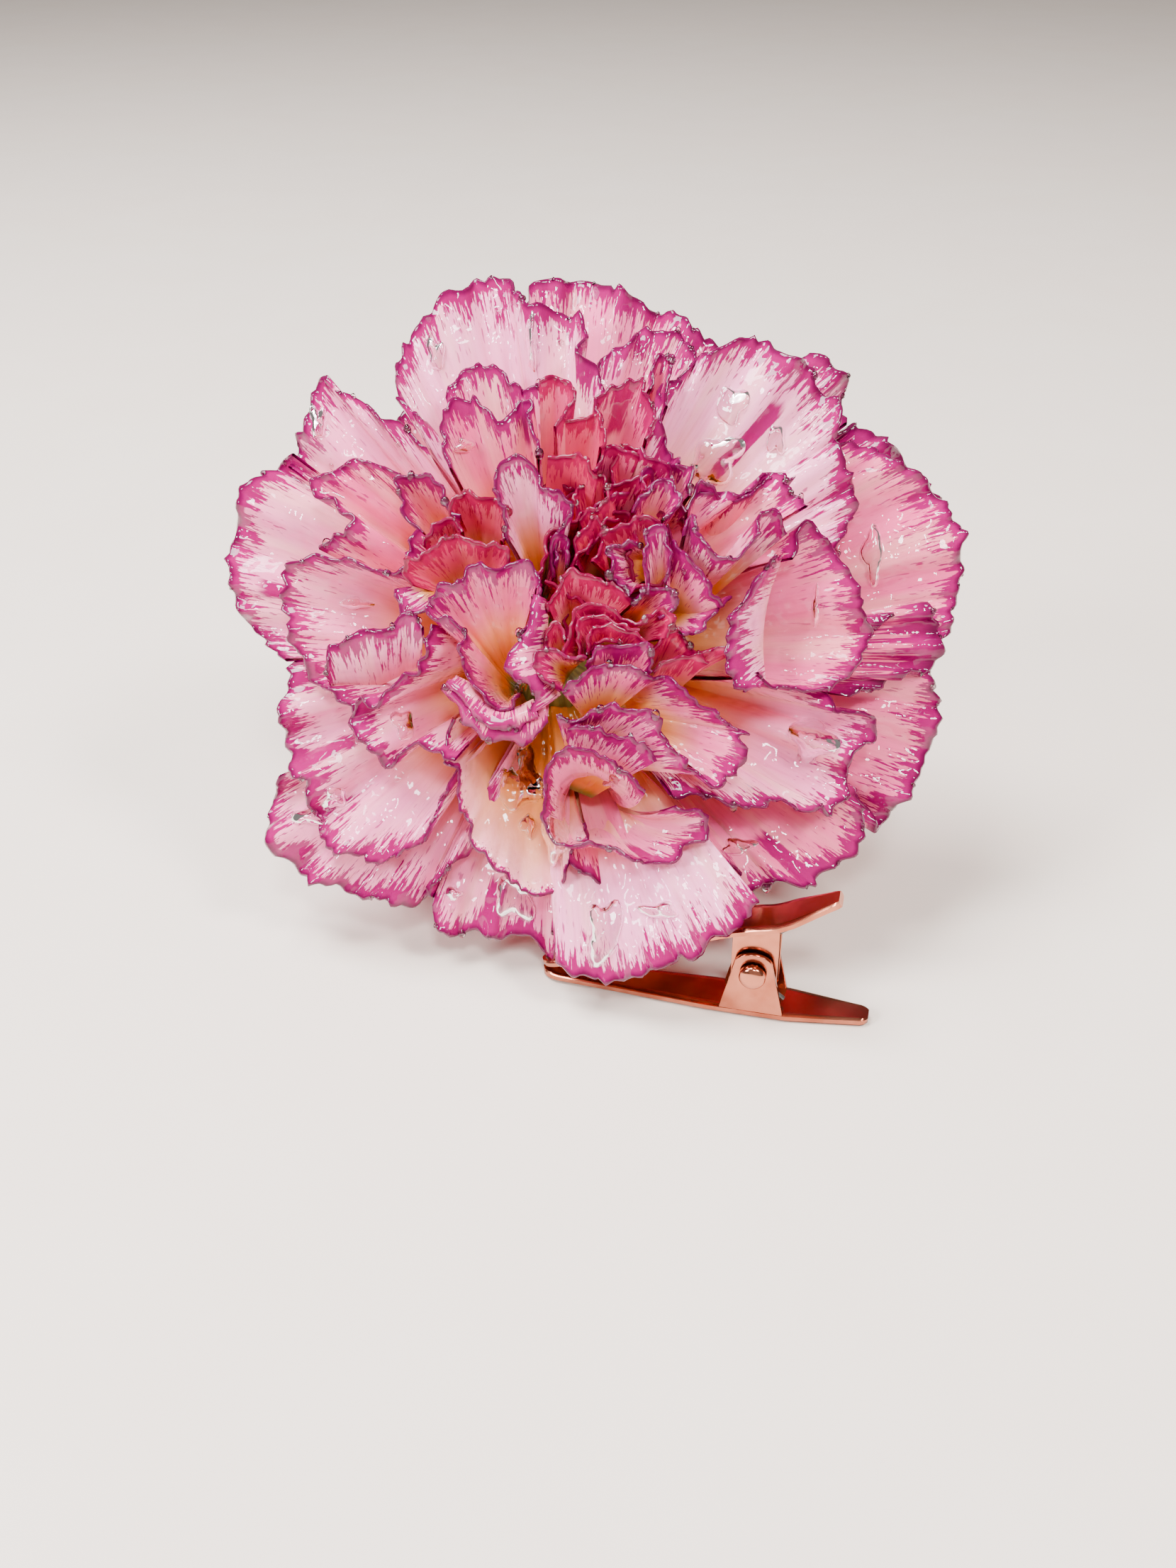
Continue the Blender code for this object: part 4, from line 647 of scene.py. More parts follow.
def clear_resin():
    """Clear epoxy casting resin, cast and cured: glassy, faintly warm, rippled every 2 to 3 mm."""
    made, tree = new_material("clear_resin")
    ripple = noise(tree, None, 420.0, 2.0)
    haze = mixed(tree, smooth_step(tree, ripple, 0.4, 0.8), "#FFFDFB", "#FBEFEA")
    surface(tree, {"Roughness": 0.02, "IOR": 1.5, "Transmission Weight": 1.0},
            {"Base Color": haze, "Normal": bump(tree, ripple, 0.8, 0.0006)})
    return made


def green_calyx():
    """Carnation calyx, dried and coated: ribbed olive-green tissue, browner at the trimmed end."""
    made, tree = new_material("calyx_in_resin")
    around, along = map_parts(tree, "place")

    # About forty streaks round the cup, each about 1 mm wide
    ribs = noise(tree, stretched(tree, around, along, 0.05), 40.0, 3.0)
    leaf = mixed(tree, smooth_step(tree, ribs, 0.35, 0.65), "#4F6128", "#8C9A4C")
    aged = mixed(tree, smooth_step(tree, along, 0.55, 1.0), leaf, "#8A6B3A")
    surface(tree, {"Roughness": 0.5, "Coat Weight": 1.0, "Coat Roughness": 0.04, "Coat IOR": 1.5},
            {"Base Color": aged, "Normal": bump(tree, ribs, 0.5, 0.0002)})
    return made


def rose_gold_plate():
    """Rose-gold plated steel strip, stamped and tumbled: warm mirror gloss with faint wear."""
    made, tree = new_material("rose_gold_plate")

    # Wear in patches of about 4 mm, and gloss that changes over about 11 mm
    wear = noise(tree, None, 260.0, 4.0)
    tumbled = noise(tree, None, 90.0, 6.0)
    tone = mixed(tree, smooth_step(tree, wear, 0.35, 0.7), "#C97F66", "#A85F48")
    surface(tree, {"Metallic": 1.0},
            {"Base Color": tone, "Roughness": smooth_step(tree, tumbled, 0.3, 0.7, 0.12, 0.26),
             "Normal": bump(tree, wear, 0.15, 0.00005)})
    return made


def spring_wire():
    """Bright drawn spring steel, greyer where the die has rubbed it."""
    made, tree = new_material("spring_wire")

    # Die lines are too fine to show, so patches of about 1.4 mm stand for them
    rubbed = noise(tree, None, 700.0, 3.0)
    tone = mixed(tree, smooth_step(tree, rubbed, 0.35, 0.7), "#9A9491", "#6E6A67")
    surface(tree, {"Metallic": 1.0},
            {"Base Color": tone, "Roughness": smooth_step(tree, rubbed, 0.3, 0.7, 0.18, 0.34)})
    return made


def plain_floor():
    """Plain pale matt board."""
    made, tree = new_material("pale_board")
    tone = mixed(tree, noise(tree, None, 60.0, 3.0), "#F0E4DB", "#ECDDD2")
    surface(tree, {"Roughness": 0.6}, {"Base Color": tone})
    return made


# Petal geometry

def to_world(points):
    """World places, in metres, of face-frame points drawn in along their sight lines."""
    nearer = 1.0 - points[..., 2] / VIEW_DISTANCE
    side = points[..., 0] * nearer
    height = points[..., 1] * nearer
    toward = points[..., 2]
    sin_tilt = math.sin(FACE_TILT)
    cos_tilt = math.cos(FACE_TILT)
    world = np.stack([side, height * sin_tilt - toward * cos_tilt,
                      height * cos_tilt + toward * sin_tilt], axis=-1)
    world = world + FACE_CENTRE
    low = FLOOR_SOFTNESS * np.exp(np.minimum(world[..., 2] / FLOOR_SOFTNESS - 1, 0))
    world[..., 2] = np.where(world[..., 2] < FLOOR_SOFTNESS, low, world[..., 2])
    return world * MM


def face_matrix(across, up, toward):
    """Frame whose Z runs out of the bloom's face, at a point of the face frame."""
    turn = Matrix.Rotation(math.pi / 2 - FACE_TILT, 4, "X")
    spot = to_world(np.array((across, up, toward), float))
    return Matrix.Translation(Vector(spot)) @ turn


def curve_points(points, where):
    """Points of the Catmull-Rom curve through the given ones, at places 0..1."""
    given = np.array(points, float)
    spans = len(given) - 1
    place = np.clip(where, 0, 1) * spans
    index = np.minimum(place.astype(int), spans - 1)
    t = (place - index)[:, None]
    padded = np.vstack([2 * given[0] - given[1], given, 2 * given[-1] - given[-2]])
    a, b, c, d = (padded[index + k] for k in range(4))
    return 0.5 * (2 * b + (c - a) * t + (2 * a - 5 * b + 4 * c - d) * t ** 2
                  + (3 * b - a - 3 * c + d) * t ** 3)


def even_curve(points, count):
    """Points at even distances along the curve, and its length."""
    fine = curve_points(points, np.linspace(0, 1, 40 * len(points)))
    steps = np.linalg.norm(np.diff(fine, axis=0), axis=1)
    place = np.concatenate([[0], np.cumsum(steps)])
    targets = np.linspace(0, place[-1], count + 1)
    return np.stack([np.interp(targets, place, fine[:, k]) for k in range(3)], axis=1), place[-1]


def claw_root(rim):
    """Where a petal's claw starts in the core: outer petals start further back."""
    centre = np.mean(np.array(rim, float), axis=0)
    away = centre[:2] - np.array(CORE_CENTRE)
    away = away / np.linalg.norm(away) * CLAW_REACH
    return np.array([CORE_CENTRE[0] + away[0], CORE_CENTRE[1] + away[1],
                     CLAW_DEPTH + CLAW_DEPTH_SLOPE * centre[2]])


def waves(place, draw, length, count=3):
    """Uneven wave along the rim, of about the given wavelength, between -1 and 1."""
    total = np.zeros_like(place)
    for _ in range(count):
        wavelength = length * draw.uniform(0.7, 1.45)
        total += np.sin(2 * math.pi * (place / wavelength + draw.random()))
    return total / count ** 0.5 / 1.4


def teeth(place, draw, pitch, depth):
    """Uneven saw teeth along the rim."""
    edges = [0.0]
    while edges[-1] < place[-1] + pitch:
        edges.append(edges[-1] + pitch * draw.uniform(0.5, 1.6))
    heights = [depth * draw.uniform(-0.2, 1.0) * (1 if i % 2 else -0.4) for i in range(len(edges))]
    return np.interp(place, edges, heights)


def claw_line(shape, rim):
    """Line across a petal's claw, one point for each of the rim's."""
    count = len(rim) - 1
    if "base" in shape:
        return even_curve(shape["base"], count)[0]
    root = np.array(shape["root"]) if "root" in shape else claw_root(shape["rim"])
    across = rim[-1] - rim[0]
    across[2] = 0
    across /= np.linalg.norm(across)
    share = np.linspace(0, 1, count + 1)[:, None] - 0.5
    return root + across * shape.get("claw", CLAW_WIDTH) * share


def middle_line(shape, base, rim):
    """Line half way up a petal: lifted out of the face, or round a funnel's throat."""
    if "throat" not in shape:
        return (base + rim) / 2 + np.array((0, 0, shape.get("lift", LIMB_LIFT) * 0.5))
    throat = np.array(shape["throat"], float)
    out = rim - throat
    out[:, 2] = 0
    out /= np.linalg.norm(out, axis=1)[:, None]
    return throat + out * shape["throat_radius"]


def ruffled(grid, place, t, size, draw):
    """The grid with waves and pleats across the blade."""
    swing = 0.0
    for depth, wavelength, power in RUFFLES:
        swing = swing + depth * size * waves(place, draw, wavelength) * t ** power
    depth, wavelength, power = CRINKLE
    swing = swing + depth * waves(place, draw, wavelength) * t ** power
    depth, wavelength = PLEATS
    pleats = depth * waves(place, draw, wavelength) * np.sin(math.pi * t) ** 0.5
    return grid + face_normals(grid) * (swing + pleats)[:, :, None]


def notched(grid, place, t, draw):
    """The grid with scallops and saw teeth along the rim."""
    outward = grid[-1] - grid[-3]
    outward /= np.linalg.norm(outward, axis=1)[:, None]
    depth, wavelength, power = SCALLOPS
    cut = depth * waves(place, draw, wavelength)[None, :] * t ** power
    for depth, pitch, power in TEETH:
        cut = cut + teeth(place, draw, pitch, depth)[None, :] * t ** power
    return grid + outward * cut[:, :, None]


def petal_grid(shape, draw):
    """Points of a petal, base row first, with the place along the rim and the distance from it."""
    coarse = 1.0
    length = even_curve(shape["rim"], 8)[1]
    count = int(np.clip(length / (RIM_STEP * coarse), *RIM_SPANS))
    rim, length = even_curve(shape["rim"], count)
    base = claw_line(shape, rim)
    middle = middle_line(shape, base, rim)
    reach = np.linalg.norm(rim - middle, axis=1) + np.linalg.norm(middle - base, axis=1)
    rows = int(np.clip(np.mean(reach) / (ROW_STEP * coarse), *ROWS))

    # A quadratic loft from claw to rim, with rows closer together near the rim
    t = (1 - (1 - np.linspace(0, 1, rows + 1)) ** 1.5)[:, None]
    loft = t[:, :, None]
    grid = (base * (2 * loft - 1) * (loft - 1) + middle * 4 * loft * (1 - loft)
            + rim * loft * (2 * loft - 1))
    place = np.linspace(0, length, count + 1)
    grid = ruffled(grid, place, t, shape.get("ruffle", 1.0), draw)
    grid = notched(grid, place, t, draw)
    from_rim = np.linalg.norm(np.diff(grid, axis=0), axis=2)
    inward = np.concatenate([np.cumsum(from_rim[::-1], axis=0)[::-1], np.zeros((1, count + 1))])
    return grid, place, inward, t[:, 0]


def face_normals(grid):
    """Unit normals of a grid of points, on the side that faces the viewer."""
    normals = np.cross(np.gradient(grid, axis=1), np.gradient(grid, axis=0))
    normals /= np.linalg.norm(normals, axis=2)[:, :, None] + TINY
    outer_half = normals[-normals.shape[0] // 2:]
    return -normals if outer_half[:, :, 2].mean() < 0 else normals


def new_object(name, data):
    """Object in the scene with the given data."""
    made = bpy.data.objects.new(name, data)
    bpy.context.scene.collection.objects.link(made)
    return made


def mesh_object(name, verts, faces, maps=None):
    """Object from arrays of points and quads, with named UV maps."""
    mesh = bpy.data.meshes.new(name)
    mesh.from_pydata(verts.tolist(), [], faces.tolist())
    corners = np.empty(len(mesh.loops), int)
    mesh.loops.foreach_get("vertex_index", corners)
    for label, values in (maps or {}).items():
        layer = mesh.uv_layers.new(name=label)
        layer.data.foreach_set("uv", values[corners].astype(np.float32).ravel())
    mesh.shade_smooth()
    return new_object(name, mesh)


def grid_faces(rows, columns, start=0, flip=False):
    """Quads of a grid whose points are numbered row by row."""
    low = np.arange(rows - 1)[:, None] * columns + np.arange(columns - 1)[None, :] + start
    quads = np.stack([low, low + 1, low + columns + 1, low + columns], axis=-1).reshape(-1, 4)
    return quads[:, ::-1] if flip else quads


def joined_grids(grids):
    """Points and quads of several grids as one mesh."""
    points = []
    faces = []
    start = 0
    for grid in grids:
        rows, columns, _ = grid.shape
        points.append(grid.reshape(-1, 3))
        faces.append(grid_faces(rows, columns, start))
        start += rows * columns
    return np.concatenate(points), np.concatenate(faces)


def edited_object(name, shape, mesh):
    """Object from a mesh after its editing, smoothly shaded."""
    shape.to_mesh(mesh)
    shape.free()
    mesh.shade_smooth()
    return new_object(name, mesh)


def line_through(curve, points, closed=False):
    """Straight-sided line of a curve through points in metres."""
    line = curve.splines.new("POLY")
    line.points.add(len(points) - 1)
    line.use_cyclic_u = closed
    for point, place in zip(line.points, points):
        point.co = (*place, 1)
    return line


def blade_loop(grid, height):
    """Front rows, the rounded rim and the back rows of a thin blade, and the front's normals."""
    normals = face_normals(grid)
    half = PETAL_THICKNESS / 2 * (1 + BASE_THICKENING * (1 - height[:, None, None]))
    front = grid + normals * half
    back = grid - normals * half
    outward = grid[-1] - grid[-2]
    outward /= np.linalg.norm(outward, axis=1)[:, None] + TINY
    bead = (grid[-1] + outward * PETAL_THICKNESS * RIM_BEAD)[None]
    return np.concatenate([front, bead, back[::-1]]), normals


def petal_maps(name, shape, number, place, inward, height):
    """Where each point lies: from the rim, up the petal and from the petal's stripe."""
    columns = len(place)
    inward = inward * shape.get("margin", 1.0)
    from_rim = np.concatenate([inward, np.zeros((1, columns)), inward[::-1]])
    along = np.broadcast_to(place + number * NOISE_SHIFT, from_rim.shape)
    low = shape.get("low", 0.0)
    span = shape.get("high", 1.0) - low
    rise = low + span * np.concatenate([height, [1.0], height[::-1]])[:, None] * np.ones(columns)
    tint = TINTS.get(name, shape.get("tint", 1.0))
    share, nearest, furthest = STRIPES.get(name, NO_STRIPE)
    aside = np.broadcast_to(np.abs(place - share * place[-1]), from_rim.shape)
    within = np.minimum(from_rim - nearest, furthest - from_rim)
    maps = {"blade": (along, from_rim), "place": (rise, np.full_like(rise, tint)),
            "stripe": (aside, within)}
    return {label: np.stack(pair, axis=-1).reshape(-1, 2) for label, pair in maps.items()}


def add_petal(name, shape, number):
    """One petal: a thin blade with a rounded, toothed rim."""
    draw = random.Random(number * 7 + 3)
    grid, place, inward, height = petal_grid(shape, draw)
    loop, normals = blade_loop(grid, height)
    faces = grid_faces(loop.shape[0], loop.shape[1])
    facing = np.cross(loop[1, 1] - loop[0, 0], loop[0, 1] - loop[0, 0])
    if np.dot(facing, normals[0, 0]) < 0:
        faces = faces[:, ::-1]
    maps = petal_maps(name, shape, number, place, inward, height)
    return mesh_object("petal_" + name, to_world(loop).reshape(-1, 3), faces, maps), grid


def filler_petals():
    """Small crumpled petals deep between the centre ones, placed by the golden angle."""
    draw = random.Random(11)
    shapes = {}
    for index in range(FILLER_COUNT):
        turn = index * GOLDEN_ANGLE
        reach = math.sqrt((index + 0.5) / FILLER_COUNT)
        across = FILLER_CENTRE[0] + FILLER_SPREAD[0] * reach * math.cos(turn)
        up = FILLER_CENTRE[1] + FILLER_SPREAD[1] * reach * math.sin(turn)
        facing = turn + draw.uniform(-FILLER_TURN, FILLER_TURN)
        toward = FILLER_TOWARD + draw.uniform(-FILLER_SCATTER, FILLER_SCATTER) - FILLER_SINK * reach
        rim = []
        for step in range(4):
            share = step / 3 - 0.5
            side = share * FILLER_WIDTH
            bulge = FILLER_BULGE * math.cos(share * math.pi)
            rim.append((across - side * math.sin(facing) + bulge * math.cos(facing),
                        up + side * math.cos(facing) + bulge * math.sin(facing), toward))
        shapes[f"filler_{index}"] = dict(FILLER_LOOK, rim=rim, tint=draw.uniform(*FILLER_TINTS))
    return shapes


def guard_petals():
    """Outermost petals behind the face, and the two that bend back down to the surface."""
    shapes = {}
    for index in range(GUARD_COUNT):
        turn = GUARD_START + 2 * math.pi / GUARD_COUNT * index
        rim = []
        for step in (-2, -1, 0, 1, 2):
            angle = turn + GUARD_SPREAD * step / 4
            reach = GUARD_REACH - abs(step)
            rim.append((GUARD_SHIFT + reach * math.cos(angle), reach * math.sin(angle), GUARD_DEPTH))
        shapes[f"guard_{index}"] = dict(GUARD_LOOK, rim=rim)
    for name, shift in PROP_SHIFTS.items():
        shapes[name] = dict(PROP_LOOK, rim=[(x + shift, up, toward) for x, up, toward in PROP_RIM])
    return shapes


def all_petals():
    """Every petal's name and shape, from the outer ring inwards."""
    shapes = {}
    for name, rim in OUTER_PETALS.items():
        shapes[name] = dict(OUTER_LOOK, rim=rim, margin=DARK_MARGINS.get(name, OUTER_MARGIN))
    for name, rim in MIDDLE_PETALS.items():
        shapes[name] = dict(MIDDLE_LOOK, rim=rim)
    for name, rim in CENTRE_PETALS.items():
        shapes[name] = dict(CENTRE_LOOK, rim=rim)
    shapes["cream_floor"] = dict(CREAM_LOOK, rim=CREAM_FLOOR)
    for name, (root, tint, rim) in RUFFLED_PETALS.items():
        shapes[name] = dict(RUFFLED_LOOK, rim=read_off(rim), root=read_off([root])[0], tint=tint)
    for name, shape in FUNNEL_PETALS.items():
        shapes[name] = dict(FUNNEL_LOOK, **shape)
    for name, shape in FLAP_PETALS.items():
        shapes[name] = dict(FLAP_LOOK, margin=FLAP_MARGINS[name], **shape)
    return {**shapes, **filler_petals(), **guard_petals()}


def dress(piece, finish, body, nodes=()):
    """Give a piece its material, its body and the nodes it stands for."""
    piece.data.materials.clear()
    piece.data.materials.append(finish)
    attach(piece, body)
    if nodes:
        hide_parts(*nodes)


def add_bloom(finish):
    """All petals, one object each."""
    grids = {}
    for number, (name, shape) in enumerate(all_petals().items()):
        petal, grid = add_petal(name, shape, number)
        dress(petal, finish, "bloom_side", ["bloom"] if number == 0 else ())
        grids[name] = grid
    return grids


def turned_object(name, rings, segments, ribs=0.0, sepals=0.0):
    """Turned form round the bloom's axis; ribs swell it, sepals cut points into its mouth."""
    angle = np.linspace(0, 2 * math.pi, segments + 1)
    rows = []
    marks = []
    for number, (radius, depth) in enumerate(rings):
        part = number / (len(rings) - 1)
        swell = ribs * np.cos(SEPALS * 2 * angle) * math.sin(math.pi * min(part * 1.2, 1))
        rise = sepals * np.abs(np.cos(SEPALS / 2 * angle)) ** 0.7 * max(0.0, 1 - 2.2 * part)
        rows.append(np.stack([(radius + swell) * np.cos(angle), (radius + swell) * np.sin(angle),
                              depth + rise], axis=-1))
        marks.append(np.stack([angle / (2 * math.pi), np.full_like(angle, part)], axis=-1))
    place = np.array(face_matrix(*CORE_CENTRE, 0))
    points = np.array(rows).reshape(-1, 3) * MM
    points = points @ place[:3, :3].T + place[:3, 3]
    faces = grid_faces(len(rings), segments + 1, flip=True)
    return mesh_object(name, points, faces, {"place": np.array(marks).reshape(-1, 2)})


def add_calyx(finish):
    """Ribbed green cup with five sepal points."""
    rings = [(CORE_RADIUS_FRONT + 0.15, CALYX_MOUTH + 0.1), (CALYX_RADIUS - 0.1, CALYX_MOUTH)]
    for step in range(1, CALYX_STEPS + 1):
        part = step / CALYX_STEPS
        bulge = CALYX_BULGE * math.sin(math.pi * min(part * 1.6, 1))
        taper = CALYX_TAPER * max(0.0, part - CALYX_TAPER_START) ** 1.5
        rings.append((CALYX_RADIUS + bulge - taper,
                      CALYX_MOUTH + (CALYX_END + 1.2 - CALYX_MOUTH) * part))
    rings += [(STEM_RADIUS + 0.5, CALYX_END + 0.4), (STEM_RADIUS, CALYX_END), (0.1, CALYX_END)]
    cup = turned_object("calyx_cup", rings, CALYX_SIDES, ribs=CALYX_RIB, sepals=SEPAL_REACH)
    dress(cup, finish, "bloom_side", ["calyx"])


def add_core(finish):
    """The bundle of claws between the petals and the calyx."""
    rings = [(0.1, CORE_FRONT + 1.5), (CORE_RADIUS_FRONT * 0.6, CORE_FRONT + 1.0)]
    for step in range(CORE_STEPS + 1):
        part = step / CORE_STEPS
        rings.append((CORE_RADIUS_FRONT + (CORE_RADIUS_BACK - CORE_RADIUS_FRONT) * part,
                      CORE_FRONT + (CORE_BACK - CORE_FRONT) * part))
    core = turned_object("claw_bundle", rings, CORE_SIDES, ribs=CORE_RIB)
    dress(core, finish, "bloom_side")


# The clip

def clip_place():
    """The clip's frame in the world."""
    return Matrix.Rotation(CLIP_YAW, 4, "Z")


def strip_plan(half_width, lever_end, x):
    """Half width of a strip at a place along it: both ends taper, the jaw to a round tip."""
    rounded = JAW_ROUND - JAW_LENGTH
    corner = lever_end - LEVER_ROUND
    places = (rounded, JAW_TAPER, LEVER_TAPER, corner)
    halves = (JAW_TIP_WIDTH / 2, half_width, half_width, LEVER_TIP_WIDTH / 2)
    width = float(np.interp(x, places, halves))
    if x < rounded:
        width *= math.sqrt(max(1 - ((rounded - x) / JAW_ROUND) ** 2, 0.0001))
    if x > corner:
        width *= math.sqrt(max(1 - 0.75 * ((x - corner) / LEVER_ROUND) ** 2, 0.0001))
    return width


def bent_strip(name, line, half_width, lever_end):
    """Sheet strip that follows a side view (x, z) line, tapered in plan, with soft edges."""
    centre = even_curve([(x, 0, z) for x, z in line], STRIP_SPANS)[0]
    tangent = np.gradient(centre, axis=0)
    tangent /= np.linalg.norm(tangent, axis=1)[:, None]
    upward = np.stack([-tangent[:, 2], np.zeros(len(tangent)), tangent[:, 0]], axis=1)
    rows = []
    for spot, up in zip(centre, upward):
        half = strip_plan(half_width, lever_end, spot[0])
        over = []
        under = []
        for step in range(-STRIP_HALF_STEPS, STRIP_HALF_STEPS + 1):
            share = step / STRIP_HALF_STEPS
            edge = STRIP_EDGE * max(0.0, abs(share) - STRIP_EDGE_START) / (1 - STRIP_EDGE_START)
            aside = np.array((0, share * half, 0))
            over.append(spot + up * (SHEET / 2 - edge) + aside)
            under.append(spot + up * (-SHEET / 2 + edge) + aside)
        rows.append(np.array(over + under[::-1] + over[:1]))
    ends = [np.repeat(row.mean(axis=0)[None], len(row), axis=0) for row in (rows[0], rows[-1])]
    points = np.array([ends[0], *rows, ends[1]])
    strip = mesh_object(name, points.reshape(-1, 3) * MM, grid_faces(*points.shape[:2]))
    strip.data.set_sharp_from_angle(angle=math.radians(38))
    strip.data.transform(clip_place())
    return strip


def ear_curve(name, outline):
    """Flat ear with a pin hole and softly rolled edges."""
    curve = bpy.data.curves.new(name, "CURVE")
    curve.dimensions = "2D"
    curve.fill_mode = "BOTH"
    curve.extrude = (EAR_SHEET / 2 - SOFT_EDGE) * MM
    curve.bevel_depth = SOFT_EDGE * MM
    curve.bevel_resolution = 2
    curve.offset = -SOFT_EDGE * MM
    turns = [2 * math.pi * i / HOLE_POINTS for i in range(HOLE_POINTS)]
    hole = [(PIN_HOLE_RADIUS * math.cos(turn), PIN_HEIGHT - PIN_HOLE_RADIUS * math.sin(turn))
            for turn in turns]
    for loop in (outline, hole):
        line_through(curve, [(x * MM, z * MM, 0) for x, z in loop], closed=True)
    return curve


def add_ears(name, outline, outer, finish, body):
    """Two upright ears, one at each side of the strip."""
    upright = Matrix.Rotation(math.pi / 2, 4, "X")
    for label, side in (("near", -1), ("far", 1)):
        ear = new_object(f"{name}_{label}", ear_curve(name, outline))
        middle = Matrix.Translation((0, side * (outer - EAR_SHEET / 2) * MM, 0))
        ear.matrix_world = clip_place() @ middle @ upright
        dress(ear, finish, body)


def rounded_ear(foot, top, foot_z, top_z):
    """Trapezoid ear with a round end, as (x, z)."""
    points = [(-foot, foot_z), (foot, foot_z)]
    bulge = math.copysign(EAR_BULGE * top, top_z - foot_z)
    for step in range(EAR_STEPS + 1):
        angle = math.pi * step / EAR_STEPS
        points.append((top * math.cos(angle), top_z + bulge * math.sin(angle)))
    return points


def add_base_jaw(finish):
    """Lower strip, flat on the surface, with its ears."""
    line = [(x, SHEET / 2) for x in (-JAW_LENGTH, -JAW_LENGTH / 2, 0, LEVER_LENGTH)]
    strip = bent_strip("lower_strip", line, STRIP_WIDTH / 2, LEVER_LENGTH)
    dress(strip, finish, "base", ["base_jaw"])
    ear = rounded_ear(EAR_FOOT, EAR_TOP, SHEET / 2, PIN_HEIGHT + EAR_RISE)
    add_ears("lower_ear", ear, STRIP_WIDTH / 2 - EAR_INSET, finish, "base")


def add_top_jaw(finish):
    """Upper strip with its soft bend over the pin, and its ears."""
    tip_x, tip_z = UPPER_LEVER_TIP
    jaw_z = SHEET + GAP + UPPER_JAW_LIFT
    slope = (BEND_HEIGHT - SHEET - GAP) / (JAW_LENGTH + BEND_FRONT)
    jaw = [(x, jaw_z + slope * (JAW_LENGTH + x))
           for x in (-JAW_LENGTH, -UPPER_JAW_MIDDLE, BEND_FRONT - BEND_LEAD)]
    bend_z = BEND_HEIGHT + SHEET / 2
    line = jaw + [(BEND_MIDDLE, bend_z), (BEND_BACK[0], bend_z + BEND_BACK[1]),
                  (tip_x - LEVER_SETBACK[0], tip_z - LEVER_SETBACK[1])]
    strip = bent_strip("upper_strip", line, UPPER_HALF_WIDTH, tip_x)
    dress(strip, finish, "bloom_side", ["top_jaw"])
    ear = rounded_ear(UPPER_EAR_HALF, UPPER_EAR_HALF, bend_z, PIN_HEIGHT - UPPER_EAR_DROP)
    outer = STRIP_WIDTH / 2 - EAR_INSET - EAR_SHEET - GAP
    add_ears("upper_ear", ear, outer, finish, "bloom_side")


def add_pin(finish):
    """Pin with a low domed rivet head outside each lower ear."""
    rings = [(0.02, PIN_HEAD_BASE + PIN_HEAD_RISE)]
    for step in range(1, PIN_HEAD_STEPS + 1):
        angle = math.pi / 2 * step / PIN_HEAD_STEPS
        rise = PIN_HEAD_FLANK + (1 - PIN_HEAD_FLANK) * math.cos(angle)
        rings.append((PIN_HEAD_RADIUS * math.sin(angle) ** PIN_HEAD_FULLNESS,
                      PIN_HEAD_BASE + PIN_HEAD_RISE * rise))
    rings += [(PIN_HEAD_RADIUS, PIN_HEAD_BASE), (PIN_RADIUS, PIN_HEAD_BASE)]
    rings += [(radius, -side) for radius, side in rings[::-1]]
    turn = np.linspace(0, 2 * math.pi, PIN_SIDES + 1)
    points = np.array([[(radius * math.cos(a), side, PIN_HEIGHT + radius * math.sin(a))
                        for a in turn] for radius, side in rings])
    pin = mesh_object("rivet_pin", points.reshape(-1, 3) * MM, grid_faces(len(rings), len(turn)))
    pin.data.transform(clip_place())
    pin.data.set_sharp_from_angle(angle=math.radians(50))
    dress(pin, finish, "base", ["hinge_pin"])


def wire(name, points):
    """Round wire through points of the clip's frame, in millimetres."""
    curve = bpy.data.curves.new(name, "CURVE")
    curve.dimensions = "3D"
    curve.bevel_depth = WIRE_RADIUS * MM
    curve.bevel_resolution = 4
    curve.use_fill_caps = True
    line_through(curve, [clip_place() @ Vector(spot) * MM for spot in points]).use_smooth = True
    return new_object(name, curve)


def add_spring(finish):
    """Coil with its lower leg, and the upper leg that lifts with the upper lever."""
    half = COIL_HALF_WIDTH
    points = [(LOWER_LEG_END[0], -half, LOWER_LEG_END[1])]
    for step in range(COIL_STEPS + 1):
        part = step / COIL_STEPS
        angle = -math.pi / 2 - 2 * math.pi * COIL_TURNS * part
        points.append((COIL_RADIUS * math.cos(angle), half * (2 * part - 1),
                       PIN_HEIGHT + COIL_RADIUS * math.sin(angle)))
    dress(wire("spring_coil", points), finish, "base", ["spring"])
    leg = [(0, half, PIN_HEIGHT + COIL_RADIUS), (UPPER_LEG_END[0], half, UPPER_LEG_END[1])]
    dress(wire("spring_leg", leg), finish, "bloom_side", ["spring"])


# Resin

def add_resin_bed(finish):
    """Clear resin that holds the lowest petals on the upper jaw."""
    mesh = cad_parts["resin_bed"].data.copy()
    mesh.name = "resin_bed_cast"
    shape = bmesh.new()
    shape.from_mesh(mesh)
    bmesh.ops.remove_doubles(shape, verts=shape.verts, dist=1e-6)
    bmesh.ops.subdivide_edges(shape, edges=shape.edges, cuts=3, use_grid_fill=True, smooth=0.3)
    bmesh.ops.triangulate(shape, faces=shape.faces)
    for _ in range(3):
        bmesh.ops.smooth_vert(shape, verts=shape.verts, factor=0.5, use_axis_x=True,
                              use_axis_y=True, use_axis_z=True)
    cast = edited_object("resin_bed_cast", shape, mesh)
    dress(cast, finish, "bloom_side", ["resin_bed"])


def petal_tree(grids):
    """Search tree of the petals' surfaces in the face frame, where sight lines run along toward."""
    seen = [grid for name, grid in grids.items() if not name.startswith(("guard", "prop"))]
    points, faces = joined_grids(seen)
    return BVHTree.FromPolygons(points.tolist(), faces.tolist())


